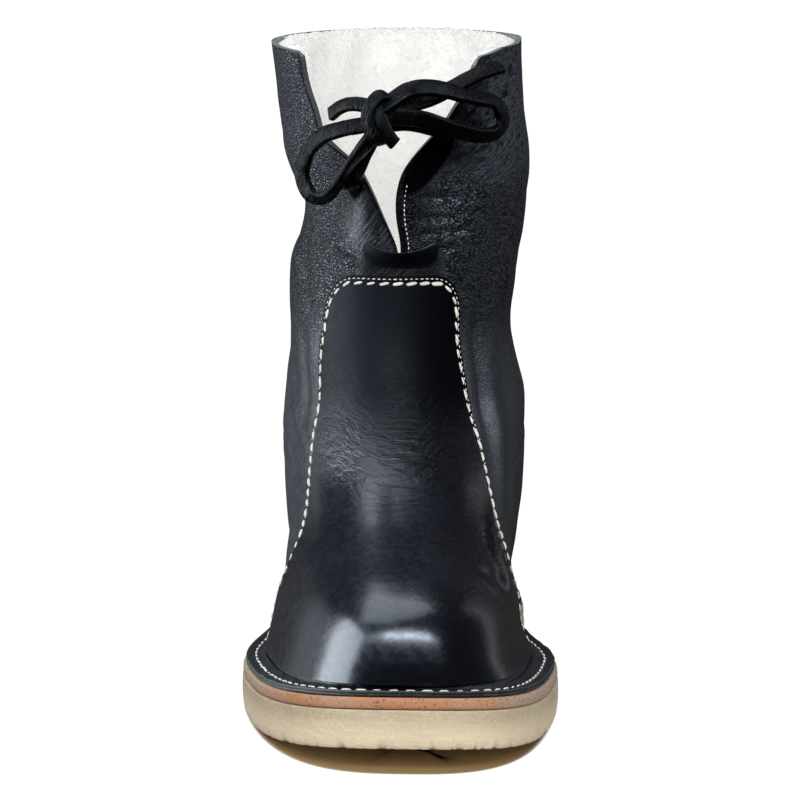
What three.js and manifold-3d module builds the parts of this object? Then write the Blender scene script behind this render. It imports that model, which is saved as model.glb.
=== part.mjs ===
// Mukluk boot for the right foot, standing empty on its sole.
// Millimetres. The toe points to -Y, the heel to +Y, the big-toe side to +X and the collar to +Z.
// While the boot is built, x = 0 is the middle of the heel and y = 0 the middle of its length.
import * as THREE from 'three';
import { mergeVertices } from 'three/addons/utils/BufferGeometryUtils.js';
import Module from 'manifold-3d';

const wasm = await Module();
wasm.setup();

// Driving sizes
const OUTSOLE_LENGTH = 284;
const BALL_WIDTH = 94; // of the upper, where it meets the sole
const BOOT_HEIGHT = 228; // floor to the front of the collar
const WELT_MARGIN = 8.5; // how far the sole stands out past the upper
const CREPE_THICKNESS = 13.5;
const CREPE_BEVEL = 2.2; // how far the worn lower edge runs in
const MIDSOLE_THICKNESS = 4;
const MIDSOLE_INSET = 0.7; // from the widest line of the crepe
const TURNOUT_INSET = 1.2;
const TOE_SPRING = 8;
const SPRING_START = 0.18 * OUTSOLE_LENGTH; // ahead of the middle
const UPPER_WALL = 2;
const PANEL_THICKNESS = 1.6;
const TAB_THICKNESS = 1.7;
const TAB_WIDTH = 27;
const TAB_HEIGHT = 10.5;
const TAB_STANDOFF = 3.2; // of its free upper edge from the shaft
const INSOLE_THICKNESS = 3;
const INSOLE_MARGIN = 1.6; // to the inside of the upper
const INSOLE_LEAN = 0.9; // its edge leans in with the upper
const FLEECE_DEPTH = 6.5;
const TUFT_RADIUS = 3.1;
const PIECE_GAP = 0.3;
const FOLD_DEPTH = 6; // the deepest crease or roll of the leather
const LACE_SLOT_HEIGHT = 8;
const LACE_SLOT_WIDTH = 5;
const LACE_THICKNESS = 3.4;
const LACE_SLOT_REACH = 12; // length of the cut through the wall

// Sizes worked out from them
const FOOT_LENGTH = OUTSOLE_LENGTH - 2 * WELT_MARGIN;
const MIDSOLE_BASE = CREPE_THICKNESS + PIECE_GAP;
const SOLE_TOP = MIDSOLE_BASE + MIDSOLE_THICKNESS;
const UPPER_BASE = SOLE_TOP + PIECE_GAP;
const SHAFT_HEIGHT = BOOT_HEIGHT - UPPER_BASE;
const FRONT = Math.PI; // angle of the toe and shin, seen from above; the heel is at 0

const rowsOf = (columns, rows) =>
  rows.map((row) => Object.fromEntries(columns.map((column, i) => [column, row[i]])));

// Rings of the upper's outer face, from the sole line to the collar. y and the widths at the toe, middle
// and heel third of a ring are shares of the foot's length and ball width, heights of the shaft's height.
const RING_COLUMNS = [
  'name', 'frontY', 'frontRise', 'backY', 'backRise', 'heel', 'midOuter', 'midInner', 'toeOuter',
  'toeInner', 'toeShift', 'toeRound', 'heelRound',
];
const RINGS = rowsOf(RING_COLUMNS, [
  ['soleLine', -0.5, 0, 0.5, 0, 0.365, 0.41, 0.385, 0.5, 0.495, 0.15, 0.63, 0.74],
  ['sideWall', -0.499, 0.057, 0.504, 0.057, 0.395, 0.415, 0.39, 0.462, 0.435, 0.145, 0.66, 0.77],
  ['toeCrown', -0.474, 0.12, 0.507, 0.119, 0.415, 0.425, 0.412, 0.432, 0.415, 0.14, 0.72, 0.82],
  ['toeTop', -0.412, 0.168, 0.507, 0.167, 0.425, 0.436, 0.426, 0.402, 0.4, 0.12, 0.82, 0.86],
  ['vampLow', -0.322, 0.208, 0.504, 0.214, 0.43, 0.447, 0.438, 0.38, 0.385, 0.1, 0.9, 0.9],
  ['vamp', -0.232, 0.248, 0.498, 0.257, 0.43, 0.457, 0.454, 0.375, 0.384, 0.07, 0.95, 0.94],
  ['instep', -0.146, 0.3, 0.491, 0.31, 0.425, 0.467, 0.464, 0.385, 0.395, 0.045, 1, 1],
  ['ankle', -0.067, 0.38, 0.481, 0.376, 0.41, 0.462, 0.462, 0.395, 0.405, 0.02, 1, 1],
  ['aboveAnkle', -0.016, 0.495, 0.472, 0.486, 0.375, 0.433, 0.402, 0.395, 0.38, 0, 1, 1],
  ['panelTop', 0.008, 0.615, 0.468, 0.605, 0.38, 0.434, 0.438, 0.4, 0.41, 0, 1, 1],
  ['pinch', 0.02, 0.7, 0.47, 0.69, 0.37, 0.39, 0.475, 0.365, 0.44, 0, 1, 1],
  ['lacing', 0.026, 0.8, 0.474, 0.785, 0.4, 0.447, 0.49, 0.42, 0.455, 0, 1, 1],
  ['underCollar', 0.024, 0.905, 0.479, 0.885, 0.4, 0.475, 0.472, 0.44, 0.445, -0.01, 1, 1],
  ['collar', 0.02, 1, 0.487, 0.983, 0.405, 0.5, 0.462, 0.46, 0.435, -0.02, 1, 1],
]);
const RING_BACK_STATION = 0.2; // shares of a ring's length, from its heel end
const RING_TOE_STATION = 0.7;
const COLLAR_RING = RINGS.length - 1;
const NORMAL_STEP = 0.02; // in rings and radians, over which a direction is measured

// Soft rolls and hollows of the leather: ring, angle from the shin in degrees (inner side positive), their
// spreads in rings and degrees, and depth as a share of FOLD_DEPTH (out positive).
const FOLDS = rowsOf(['name', 'ring', 'angle', 'ringSpread', 'angleSpread', 'depth'], [
  ['innerFlapHollow', 10.9, 34, 0.9, 13, -0.95],
  ['innerFlapLip', 10.8, 6, 0.8, 9, 0.75],
  ['outerFlapHollow', 10.6, -40, 0.7, 12, -0.6],
  ['outerFlapLip', 10.7, -14, 0.7, 9, 0.5],
  ['innerCollarRoll', 13, 48, 0.7, 18, 0.5],
  ['outerCollarRoll', 13, -52, 0.8, 16, 0.45],
  ['sidePinch', 10.1, -82, 0.7, 30, -0.35],
  ['ankleCreaseInner', 7.2, 62, 0.45, 26, -0.3],
  ['ankleCreaseOuter', 7.3, -60, 0.45, 26, -0.3],
  ['ankleFront', 7.1, 0, 0.4, 40, -0.22],
  ['achilles', 8.2, 180, 1, 40, -0.3],
  ['innerFold', 8, 96, 1.4, 12, 0.35],
]);

// The slit that the two flaps leave open, seen from the front: height as a share of the shaft's height,
// edges as shares of the ball width.
const SLIT = rowsOf(['rise', 'outerEdge', 'innerEdge'], [
  [1.04, -0.365, 0.365],
  [0.97, -0.345, 0.31],
  [0.91, -0.305, 0.24],
  [0.865, -0.28, 0.18],
  [0.835, -0.24, 0.125],
  [0.815, -0.165, 0.075],
  [0.795, -0.115, 0.035],
  [0.765, -0.085, 0.022],
  [0.735, -0.055, 0.015],
  [0.705, -0.022, 0.022],
  [0.665, 0.02, 0.034],
  [0.64, 0.024, 0.032],
]);

// Front panel: half angle of its two side edges, from the shin, against ring number.
const PANEL_EDGE = rowsOf(['ring', 'outerAngle', 'innerAngle'], [
  [0.35, 77, 76],
  [1, 76, 75],
  [2, 72, 71],
  [3, 66, 66],
  [4, 60, 61],
  [5, 55, 56],
  [6, 51, 50],
  [7, 45.5, 43],
  [8, 39.5, 38],
  [9, 32, 34.5],
  [9.3, 31, 33.5],
]);
const PANEL_FOOT_RING = 0.42;
const PANEL_TOP_RING = 9.05;
const PANEL_CORNER = 0.45; // in rings

// Routes of the lace. Across is a share of the ball width, along of the foot's length, and rise of the
// shaft's height.
const routeOf = (rows) =>
  rows.map(([across, along, rise]) => new THREE.Vector3(
    BALL_WIDTH * across,
    FOOT_LENGTH * along,
    UPPER_BASE + SHAFT_HEIGHT * rise,
  ));
const [KNOT_CENTRE] = routeOf([[-0.0372, -0.0315, 0.8976]]);
const BAR_ROUTE = routeOf([
  [-0.1543, 0.0356, 0.7689],
  [-0.1543, 0.015, 0.7737],
  [-0.1277, -0.0056, 0.8023],
  [-0.0904, -0.0082, 0.8404],
  [-0.0372, -0.0082, 0.8761],
  [0.0426, -0.0082, 0.8857],
  [0.1383, 0.0019, 0.8785],
  [0.2074, 0.0225, 0.8642],
  [0.2128, 0.0449, 0.8571],
]);
const LOOP_OUTER_ROUTE = routeOf([
  [-0.0989, -0.0318, 0.8847],
  [-0.1862, -0.0225, 0.8761],
  [-0.266, 0.0037, 0.8595],
  [-0.3245, 0.03, 0.8261],
  [-0.3489, 0.0449, 0.7904],
  [-0.3245, 0.0412, 0.757],
  [-0.266, 0.0225, 0.7499],
  [-0.2128, -0.0037, 0.7713],
  [-0.1543, -0.0262, 0.8118],
  [-0.0809, -0.0322, 0.8542],
]);
const LOOP_INNER_ROUTE = routeOf([
  [0.0085, -0.036, 0.9266],
  [0.0798, -0.03, 0.9452],
  [0.1702, -0.0112, 0.9452],
  [0.266, 0.015, 0.9309],
  [0.3511, 0.0449, 0.9095],
  [0.4074, 0.0712, 0.8833],
  [0.383, 0.0674, 0.8595],
  [0.2979, 0.03, 0.8642],
  [0.1915, -0.0075, 0.8833],
  [0.1064, -0.0262, 0.8952],
  [0.0319, -0.033, 0.9],
]);
const END_OUTER_ROUTE = routeOf([
  [-0.2287, 0, 0.8976],
  [-0.1915, -0.0131, 0.9119],
  [-0.1489, -0.0243, 0.919],
  [-0.0968, -0.0318, 0.919],
]);
const END_INNER_ROUTE = routeOf([
  [0.0106, -0.0202, 0.9166],
  [0.0745, -0.0094, 0.919],
  [0.1383, 0.0037, 0.9238],
  [0.2021, 0.0187, 0.9357],
  [0.2766, 0.0337, 0.9524],
  [0.3511, 0.0506, 0.9667],
  [0.4043, 0.0693, 0.9714],
]);
const KNOT_SPAN = [3.24, 2.65, 5]; // in thicknesses of the lace

// Smoothed value between the rows of a table, by Catmull-Rom on the row number.
function smoothBetween(rows, position, column) {
  const last = rows.length - 1;
  const at = Math.min(Math.max(position, 0), last);
  const i = Math.min(Math.floor(at), last - 1);
  const t = at - i;
  const value = (k) => rows[Math.min(Math.max(k, 0), last)][column];
  const [a, b, c, d] = [value(i - 1), value(i), value(i + 1), value(i + 2)];
  return b + 0.5 * t * (c - a + t * (2 * a - 5 * b + 4 * c - d + t * (3 * (b - c) + d - a)));
}

// Straight-line value of a column of the panel's edge at a ring.
function panelEdge(ring, column) {
  const at = THREE.MathUtils.clamp(ring, PANEL_EDGE[0].ring, PANEL_EDGE[PANEL_EDGE.length - 1].ring);
  const i = Math.max(PANEL_EDGE.findIndex((row) => row.ring >= at), 1);
  const [low, high] = [PANEL_EDGE[i - 1], PANEL_EDGE[i]];
  return THREE.MathUtils.mapLinear(at, low.ring, high.ring, low[column], high[column]);
}

// Height that the toe spring adds at a place along the boot.
function springLift(y) {
  const ahead = Math.max(-y - SPRING_START, 0) / (OUTSOLE_LENGTH / 2 - SPRING_START);
  return TOE_SPRING * ahead * ahead;
}

const roundness = (u, power) => Math.pow(2 * Math.sqrt(Math.max(u * (1 - u), 0)), power);

// Smooth curve through three evenly spaced values, level at its two ends; at runs from 0 to 2.
function throughThree([first, middle, last], at) {
  const slope = (last - first) / 2;
  const t = at < 1 ? Math.max(at, 0) : Math.min(at, 2) - 1;
  const [from, to] = at < 1 ? [first, middle] : [middle, last];
  const [slopeFrom, slopeTo] = at < 1 ? [0, slope] : [slope, 0];
  const blend = t * t * (3 - 2 * t);
  return from + (to - from) * blend + slopeFrom * t * (1 - t) ** 2 - slopeTo * t * t * (1 - t);
}

// Half width of a ring at a share u of its length from the heel, on one side of its centreline.
function halfWidth(ring, u, inner) {
  const value = (column) => smoothBetween(RINGS, ring, column);
  const power = value('heelRound') + (value('toeRound') - value('heelRound')) * u;
  const columns = inner ? ['heel', 'midInner', 'toeInner'] : ['heel', 'midOuter', 'toeOuter'];
  const spacing = (RING_TOE_STATION - RING_BACK_STATION) / 2;
  const full = columns.map((column, i) => value(column) / roundness(RING_BACK_STATION + i * spacing, power));
  return BALL_WIDTH * throughThree(full, (u - RING_BACK_STATION) / spacing) * roundness(u, power);
}

// Soft roll or hollow of the leather at a place.
function foldRelief(ring, angle) {
  const fromShin = THREE.MathUtils.radToDeg(FRONT - angle);
  return FOLDS.reduce((sum, fold) => {
    const around = THREE.MathUtils.euclideanModulo(fromShin - fold.angle + 180, 360) - 180;
    const reach = ((ring - fold.ring) / fold.ringSpread) ** 2 + (around / fold.angleSpread) ** 2;
    return sum + FOLD_DEPTH * fold.depth * Math.exp(-reach);
  }, 0);
}

// Plain form of the last, without the folds. Angle 0 is the heel, FRONT the toe, and between them the
// inner side of the foot.
function lastPoint(ring, angle) {
  const u = (1 - Math.cos(angle)) / 2;
  const inner = Math.sin(angle) >= 0;
  const value = (column) => smoothBetween(RINGS, ring, column);
  const y = FOOT_LENGTH * (value('backY') + (value('frontY') - value('backY')) * u);
  const rise = SHAFT_HEIGHT * (value('backRise') + (value('frontRise') - value('backRise')) * u);
  const centre = BALL_WIDTH * value('toeShift') * u * u;
  const x = centre + (inner ? 1 : -1) * halfWidth(ring, u, inner);
  return new THREE.Vector3(x, y, UPPER_BASE + rise + springLift(y));
}

// Outward direction of the last at a place.
function lastNormal(ring, angle) {
  const along = lastPoint(Math.min(ring + NORMAL_STEP, COLLAR_RING), angle)
    .sub(lastPoint(Math.max(ring - NORMAL_STEP, 0), angle));
  const around = lastPoint(ring, angle + NORMAL_STEP).sub(lastPoint(ring, angle - NORMAL_STEP));
  return along.cross(around).normalize();
}

// Point of the upper's form, a distance out from its outer face.
function formPoint(ring, angle, out) {
  const relief = foldRelief(ring, angle);
  return lastPoint(ring, angle).addScaledVector(lastNormal(ring, angle), relief + out);
}

// Point of the sole's outline, a distance out from the line where the upper meets the sole.
function outlinePoint(angle, out, z) {
  const here = lastPoint(0, angle);
  const around = lastPoint(0, angle + NORMAL_STEP).sub(lastPoint(0, angle - NORMAL_STEP));
  const away = new THREE.Vector3(-around.y, around.x, 0).normalize();
  const x = here.x + away.x * out;
  const y = here.y + away.y * out;
  return new THREE.Vector3(x, y, z + springLift(y));
}

// Closed geometry from points and triangles, with its faces pointing out.
function geometryOf(points, triangles) {
  const volume = triangles.reduce(
    (sum, [a, b, c]) => sum + points[a].dot(points[b].clone().cross(points[c])),
    0,
  );
  const index = triangles.flatMap(([a, b, c]) => (volume > 0 ? [a, b, c] : [a, c, b]));
  const geometry = new THREE.BufferGeometry();
  geometry.setAttribute(
    'position',
    new THREE.Float32BufferAttribute(points.flatMap((point) => point.toArray()), 3),
  );
  geometry.setIndex(index);
  return geometry;
}

// Rings of points joined into a wall, each ring closed; the last ring joins the first or both are capped.
function wallGeometry(rings, { closed }) {
  const count = rings[0].length;
  const points = rings.flat();
  const triangles = [];
  const bands = closed ? rings.length : rings.length - 1;
  for (let i = 0; i < bands; i += 1) {
    const low = i * count;
    const high = ((i + 1) % rings.length) * count;
    for (let j = 0; j < count; j += 1) {
      const next = (j + 1) % count;
      triangles.push([low + j, low + next, high + next]);
      triangles.push([low + j, high + next, high + j]);
    }
  }
  if (!closed) {
    capRing(triangles, 0, count, true);
    capRing(triangles, (rings.length - 1) * count, count, false);
  }
  return geometryOf(points, triangles);
}

// Cap of a ring whose two sides mirror each other about its first point, in strips across it.
function capRing(triangles, first, count, reversed) {
  const add = (a, b, c) => {
    if (a !== b && b !== c && a !== c) {
      triangles.push(reversed ? [a, c, b] : [a, b, c]);
    }
  };
  for (let j = 0; j < count / 2; j += 1) {
    const left = first + j;
    const leftNext = first + j + 1;
    const right = first + ((count - j) % count);
    const rightNext = first + count - j - 1;
    add(left, leftNext, rightNext);
    add(left, rightNext, right);
  }
}

// Patch with thickness from two grids of the same size, outer and inner.
function patchGeometry(outer, inner) {
  const rows = outer.length;
  const columns = outer[0].length;
  const points = [...outer.flat(), ...inner.flat()];
  const at = (side, i, j) => side * rows * columns + i * columns + j;
  const triangles = [];
  const quad = (a, b, c, d) => triangles.push([a, b, c], [a, c, d]);
  for (let i = 0; i < rows - 1; i += 1) {
    for (let j = 0; j < columns - 1; j += 1) {
      quad(at(0, i, j), at(0, i, j + 1), at(0, i + 1, j + 1), at(0, i + 1, j));
      quad(at(1, i, j), at(1, i + 1, j), at(1, i + 1, j + 1), at(1, i, j + 1));
    }
  }
  for (let j = 0; j < columns - 1; j += 1) {
    quad(at(0, 0, j), at(1, 0, j), at(1, 0, j + 1), at(0, 0, j + 1));
    quad(at(0, rows - 1, j), at(0, rows - 1, j + 1), at(1, rows - 1, j + 1), at(1, rows - 1, j));
  }
  for (let i = 0; i < rows - 1; i += 1) {
    quad(at(0, i, 0), at(0, i + 1, 0), at(1, i + 1, 0), at(1, i, 0));
    quad(at(0, i, columns - 1), at(1, i, columns - 1), at(1, i + 1, columns - 1), at(0, i + 1, columns - 1));
  }
  return geometryOf(points, triangles);
}

// Evenly spaced angles around the boot.
const angles = (count) => Array.from({ length: count }, (_, i) => (2 * Math.PI * i) / count);
const spread = (low, high, count) =>
  Array.from({ length: count }, (_, i) => low + ((high - low) * i) / (count - 1));

function toManifold(geometry) {
  const bare = geometry.clone();
  bare.deleteAttribute('normal');
  bare.deleteAttribute('uv');
  const merged = mergeVertices(bare, 1e-4);
  const mesh = new wasm.Mesh({
    numProp: 3,
    vertProperties: new Float32Array(merged.attributes.position.array),
    triVerts: new Uint32Array(merged.index.array),
  });
  return new wasm.Manifold(mesh);
}

function toGeometry(solid) {
  const mesh = solid.getMesh();
  const geometry = new THREE.BufferGeometry();
  geometry.setAttribute('position', new THREE.Float32BufferAttribute(mesh.vertProperties, 3));
  geometry.setIndex(Array.from(mesh.triVerts));
  return geometry;
}

// The open V between the flaps, as a block through the front wall alone.
const SLIT_CUT_FRONT = -0.32; // shares of the foot's length
const SLIT_CUT_BACK = 0.18;
function slitCutter(extra) {
  const height = (rise) => UPPER_BASE + SHAFT_HEIGHT * rise;
  const outer = SLIT.map((row) => [BALL_WIDTH * row.outerEdge - extra, height(row.rise)]);
  const inner = SLIT.map((row) => [BALL_WIDTH * row.innerEdge + extra, height(row.rise)]).reverse();
  const shape = new THREE.Shape([...outer, ...inner].map(([x, z]) => new THREE.Vector2(x, z)));
  const depth = (SLIT_CUT_BACK - SLIT_CUT_FRONT) * FOOT_LENGTH;
  const block = new THREE.ExtrudeGeometry(shape, { depth, bevelEnabled: false });
  block.rotateX(Math.PI / 2);
  block.translate(0, SLIT_CUT_BACK * FOOT_LENGTH, 0);
  return toManifold(block);
}

// A solid with the V and the two slots for the lace cut out of it.
function cutForLacing(solid, extra) {
  const ends = [BAR_ROUTE[0], BAR_ROUTE[BAR_ROUTE.length - 1]];
  const slots = ends.map(({ x, y, z }) => {
    const box = new THREE.BoxGeometry(LACE_SLOT_WIDTH, LACE_SLOT_REACH, LACE_SLOT_HEIGHT);
    box.translate(x, y, z);
    return toManifold(box);
  });
  return [slitCutter(extra), ...slots].reduce((left, cutter) => left.subtract(cutter), solid);
}

// Profile of the upper's wall at one angle, from the edge of the turned-out flange over the outside to the
// collar and back down the inside.
const BODY_RINGS = spread(1, 8.5, 16);
const OUTER_RINGS = [0.22, 0.6, ...BODY_RINGS, 9, 9.6, 10.2, 10.8, 11.4, 12.2];
const SHAFT_INNER_RINGS = [12.2, 11.4, 10.8, 10.2, 9.6, 8.8, 8, 7.3, 6.6, 6];
const INNER_RINGS = [...SHAFT_INNER_RINGS, 5, 4, 3, 2.4, 1.8, 1.2, 0.6];
const RIM_BEVEL = 0.5;
function upperProfile(angle) {
  const top = UPPER_BASE + UPPER_WALL;
  const reach = WELT_MARGIN - TURNOUT_INSET;
  return [
    outlinePoint(angle, -UPPER_WALL, UPPER_BASE),
    outlinePoint(angle, reach, UPPER_BASE),
    outlinePoint(angle, reach, top),
    outlinePoint(angle, RIM_BEVEL, top),
    ...OUTER_RINGS.map((ring) => formPoint(ring, angle, 0)),
    formPoint(COLLAR_RING, angle, -RIM_BEVEL),
    formPoint(COLLAR_RING, angle, RIM_BEVEL - UPPER_WALL),
    ...INNER_RINGS.map((ring) => formPoint(ring, angle, -UPPER_WALL)),
  ];
}

const UPPER_ANGLES = 48;
function upperGeometry() {
  const wall = wallGeometry(angles(UPPER_ANGLES).map(upperProfile), { closed: true });
  return toGeometry(cutForLacing(toManifold(wall), 0));
}

// Slab of the sole's outline from rows of distance out and height.
function slabGeometry(rows, count) {
  const rings = rows.map(([out, z]) => angles(count).map((angle) => outlinePoint(angle, out, z)));
  return wallGeometry(rings, { closed: false });
}

// Edge of the crepe from the floor up: how far it runs in, as a share of its bevel, and its height as a
// share of its thickness.
const CREPE_EDGE = rowsOf(['bevel', 'height'], [
  [1, 0],
  [0.35, 0.2],
  [0, 0.5],
  [0.12, 1],
]);
const SOLE_ANGLES = 52;
function outsoleGeometry() {
  const rows = CREPE_EDGE.map(({ bevel, height }) => [
    WELT_MARGIN - CREPE_BEVEL * bevel,
    CREPE_THICKNESS * height,
  ]);
  return slabGeometry(rows, SOLE_ANGLES);
}

function midsoleGeometry() {
  const out = WELT_MARGIN - MIDSOLE_INSET;
  return slabGeometry([[out, MIDSOLE_BASE], [out, SOLE_TOP]], SOLE_ANGLES);
}

function insoleGeometry() {
  const out = -UPPER_WALL - INSOLE_MARGIN;
  const rows = [[out, UPPER_BASE], [out - INSOLE_LEAN, UPPER_BASE + INSOLE_THICKNESS]];
  return slabGeometry(rows, UPPER_ANGLES);
}

// Front panel over the quarters, cut between two larger forms of the upper.
const PANEL_COLUMNS = 19;
const PANEL_SEAT = 2 * PIECE_GAP; // room for the chords of both faceted faces
const PANEL_RINGS = [PANEL_FOOT_RING, 0.7, ...BODY_RINGS, PANEL_TOP_RING];
const PANEL_CORNER_POWER = 8;
const PANEL_CORNER_REACH = 2; // rings over which the corners' drop fades out
function panelGeometry() {
  const grid = (out) =>
    PANEL_RINGS.map((plain) =>
      spread(-1, 1, PANEL_COLUMNS).map((across) => {
        const drop = PANEL_CORNER * Math.abs(across) ** PANEL_CORNER_POWER;
        const fade = THREE.MathUtils.smoothstep(plain, PANEL_TOP_RING - PANEL_CORNER_REACH, PANEL_TOP_RING);
        const ring = plain - drop * fade;
        const edge = panelEdge(ring, across < 0 ? 'outerAngle' : 'innerAngle');
        const fromShin = THREE.MathUtils.degToRad(edge * across);
        return formPoint(ring, FRONT - fromShin, out);
      }),
    );
  return patchGeometry(grid(PANEL_SEAT + PANEL_THICKNESS), grid(PANEL_SEAT));
}

// Crescent at the foot of the slit: its lower edge lies on the shaft and its hollow upper edge stands off.
const TAB_RING_FOOT = 9.2;
const TAB_CENTRE_ANGLE = 1; // degrees to the inner side
const TAB_WAIST = 0.5; // share of its height left in the middle
const TAB_FOOT_RISE = 0.22; // of the lower edge at its ends, as a share of its height
const TAB_END_HEIGHT = 0.35; // share of the height left at the rounded ends
const TAB_END_POWER = 10;
const TAB_ROWS = 4;
const TAB_COLUMNS = [-1, -0.96, -0.86, -0.66, -0.33, 0, 0.33, 0.66, 0.86, 0.96, 1];
function tabGeometry() {
  const [under, over] = ['panelTop', 'pinch'].map((name) => RINGS.find((row) => row.name === name));
  const perRing = SHAFT_HEIGHT * (over.frontRise - under.frontRise);
  const halfAngle = Math.asin(TAB_WIDTH / 2 / (BALL_WIDTH * under.midInner));
  const grid = (out) =>
    spread(0, 1, TAB_ROWS).map((up) =>
      TAB_COLUMNS.map((across) => {
        const round = Math.sqrt(1 - across ** TAB_END_POWER);
        const share = TAB_END_HEIGHT + (1 - TAB_END_HEIGHT) * round;
        const foot = TAB_HEIGHT * TAB_FOOT_RISE * across * across;
        const head = TAB_HEIGHT * (TAB_WAIST + (1 - TAB_WAIST) * across * across);
        const middle = (foot + head) / 2;
        const height = middle + (head - foot) * (up - 0.5) * share;
        const stand = TAB_STANDOFF * up * (1 - across * across);
        const angle = FRONT - THREE.MathUtils.degToRad(TAB_CENTRE_ANGLE) - halfAngle * across;
        return formPoint(TAB_RING_FOOT + height / perRing, angle, out + stand);
      }),
    );
  return patchGeometry(grid(PANEL_SEAT + TAB_THICKNESS), grid(PANEL_SEAT));
}

// Shearling inside the shaft: a thick sleeve with a lumpy inner face, and tufts fused on along its rim.
const FLEECE_RINGS = [COLLAR_RING, ...SHAFT_INNER_RINGS];
const FLEECE_LUMP = 0.16; // share of the pile's depth
const FLEECE_WAVES = rowsOf(['around', 'perRing'], [
  [7, 2.1],
  [11, -3.3],
]);
const TUFT_COUNT = 40;
const TUFT_SIDES = [0.3, 0.68]; // of every other tuft, as shares of the room across the pile
const TUFT_SINK = 0.4; // share of its radius below the rim
function pileDepth(ring, angle) {
  const lump = FLEECE_WAVES.reduce(
    (sum, wave) => sum + Math.sin(wave.around * angle + wave.perRing * ring),
    0,
  );
  return FLEECE_DEPTH * (1 + FLEECE_LUMP * lump);
}

function fleeceProfile(angle) {
  const start = UPPER_WALL + PIECE_GAP;
  const outside = FLEECE_RINGS.map((ring) => formPoint(ring, angle, -start));
  const inside = FLEECE_RINGS.map((ring) => formPoint(ring, angle, -start - pileDepth(ring, angle)));
  return [...outside, ...inside.reverse()];
}

function tuftSolid(angle, index) {
  const side = TUFT_SIDES[index % TUFT_SIDES.length];
  const out = -UPPER_WALL - PIECE_GAP - TUFT_RADIUS - side * (FLEECE_DEPTH - TUFT_RADIUS);
  const tuft = new THREE.IcosahedronGeometry(TUFT_RADIUS, 0);
  tuft.rotateZ(index);
  const centre = formPoint(COLLAR_RING, angle, out);
  tuft.translate(centre.x, centre.y, centre.z - TUFT_SINK * TUFT_RADIUS);
  return toManifold(tuft);
}

function fleeceGeometry() {
  const sleeve = toManifold(wallGeometry(angles(UPPER_ANGLES).map(fleeceProfile), { closed: true }));
  const tufted = angles(TUFT_COUNT).reduce((solid, angle, i) => solid.add(tuftSolid(angle, i)), sleeve);
  return toGeometry(cutForLacing(tufted, PIECE_GAP));
}

// Plain tube along a route.
const LACE_SIDES = 8;
const LACE_STEP = 1.9; // spacing of its sections, in thicknesses
const LACE_LEAST_STEPS = 4;
function laceGeometry(route) {
  const curve = new THREE.CatmullRomCurve3(route);
  const section = new THREE.Shape(
    angles(LACE_SIDES).map((turn) =>
      new THREE.Vector2(Math.cos(turn), Math.sin(turn)).multiplyScalar(LACE_THICKNESS / 2),
    ),
  );
  const sections = Math.round(curve.getLength() / (LACE_STEP * LACE_THICKNESS));
  const steps = Math.max(LACE_LEAST_STEPS, sections);
  return new THREE.ExtrudeGeometry(section, { steps, extrudePath: curve, bevelEnabled: false });
}

const KNOT_SEGMENTS = [10, 7];
function knotGeometry() {
  const knot = new THREE.SphereGeometry(LACE_THICKNESS / 2, ...KNOT_SEGMENTS);
  knot.scale(...KNOT_SPAN);
  knot.translate(KNOT_CENTRE.x, KNOT_CENTRE.y, KNOT_CENTRE.z);
  return knot;
}

const finish = (color, roughness) =>
  new THREE.MeshStandardMaterial({ color, roughness, metalness: 0, flatShading: true });
const GRAIN_LEATHER = finish('#2b2d38', 0.55);
const SMOOTH_LEATHER = finish('#1d1f2b', 0.35);
const LACE_LEATHER = finish('#15161a', 0.5);
const TAN_LEATHER = finish('#b9794f', 0.8);
const CREPE = finish('#d8ccb0', 0.85);
const SHEARLING = finish('#efece6', 0.95);
const INSOLE_LEATHER = finish('#cdb391', 0.8);

const boot = new THREE.Group();
function addPiece(name, geometry, material) {
  const mesh = new THREE.Mesh(geometry, material);
  mesh.name = name;
  boot.add(mesh);
}

addPiece('outsole', outsoleGeometry(), CREPE);
addPiece('midsole', midsoleGeometry(), TAN_LEATHER);
addPiece('upper', upperGeometry(), GRAIN_LEATHER);
addPiece('front_panel', panelGeometry(), SMOOTH_LEATHER);
addPiece('catch_tab', tabGeometry(), SMOOTH_LEATHER);
addPiece('insole', insoleGeometry(), INSOLE_LEATHER);
addPiece('fleece_lining', fleeceGeometry(), SHEARLING);
addPiece('lace_bar', laceGeometry(BAR_ROUTE), LACE_LEATHER);
addPiece('lace_knot', knotGeometry(), LACE_LEATHER);
addPiece('lace_loop_left', laceGeometry(LOOP_OUTER_ROUTE), LACE_LEATHER);
addPiece('lace_loop_right', laceGeometry(LOOP_INNER_ROUTE), LACE_LEATHER);
addPiece('lace_end_left', laceGeometry(END_OUTER_ROUTE), LACE_LEATHER);
addPiece('lace_end_right', laceGeometry(END_INNER_ROUTE), LACE_LEATHER);

// The origin is under the middle of the sole's box.
const outlineBox = new THREE.Box3().setFromPoints(
  angles(SOLE_ANGLES).map((angle) => outlinePoint(angle, WELT_MARGIN, 0)),
);
const outlineCentre = outlineBox.getCenter(new THREE.Vector3());
boot.position.set(-outlineCentre.x, -outlineCentre.y, 0);

export default boot;
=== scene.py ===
"""Mukluk boot for the right foot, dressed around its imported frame.

Metres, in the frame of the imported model: the toe points to -Y, the big-toe side lies to +X and the
collar is up. Every leather piece is laid out from one form of the last, BootForm.
"""

from __future__ import annotations

import logging
import math
import random
from dataclasses import Field, dataclass, field
from enum import Enum

import bmesh
import bpy
import numpy as np
from mathutils import Euler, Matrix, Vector, noise
from mathutils.kdtree import KDTree
from numpy import ndarray as Array

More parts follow.
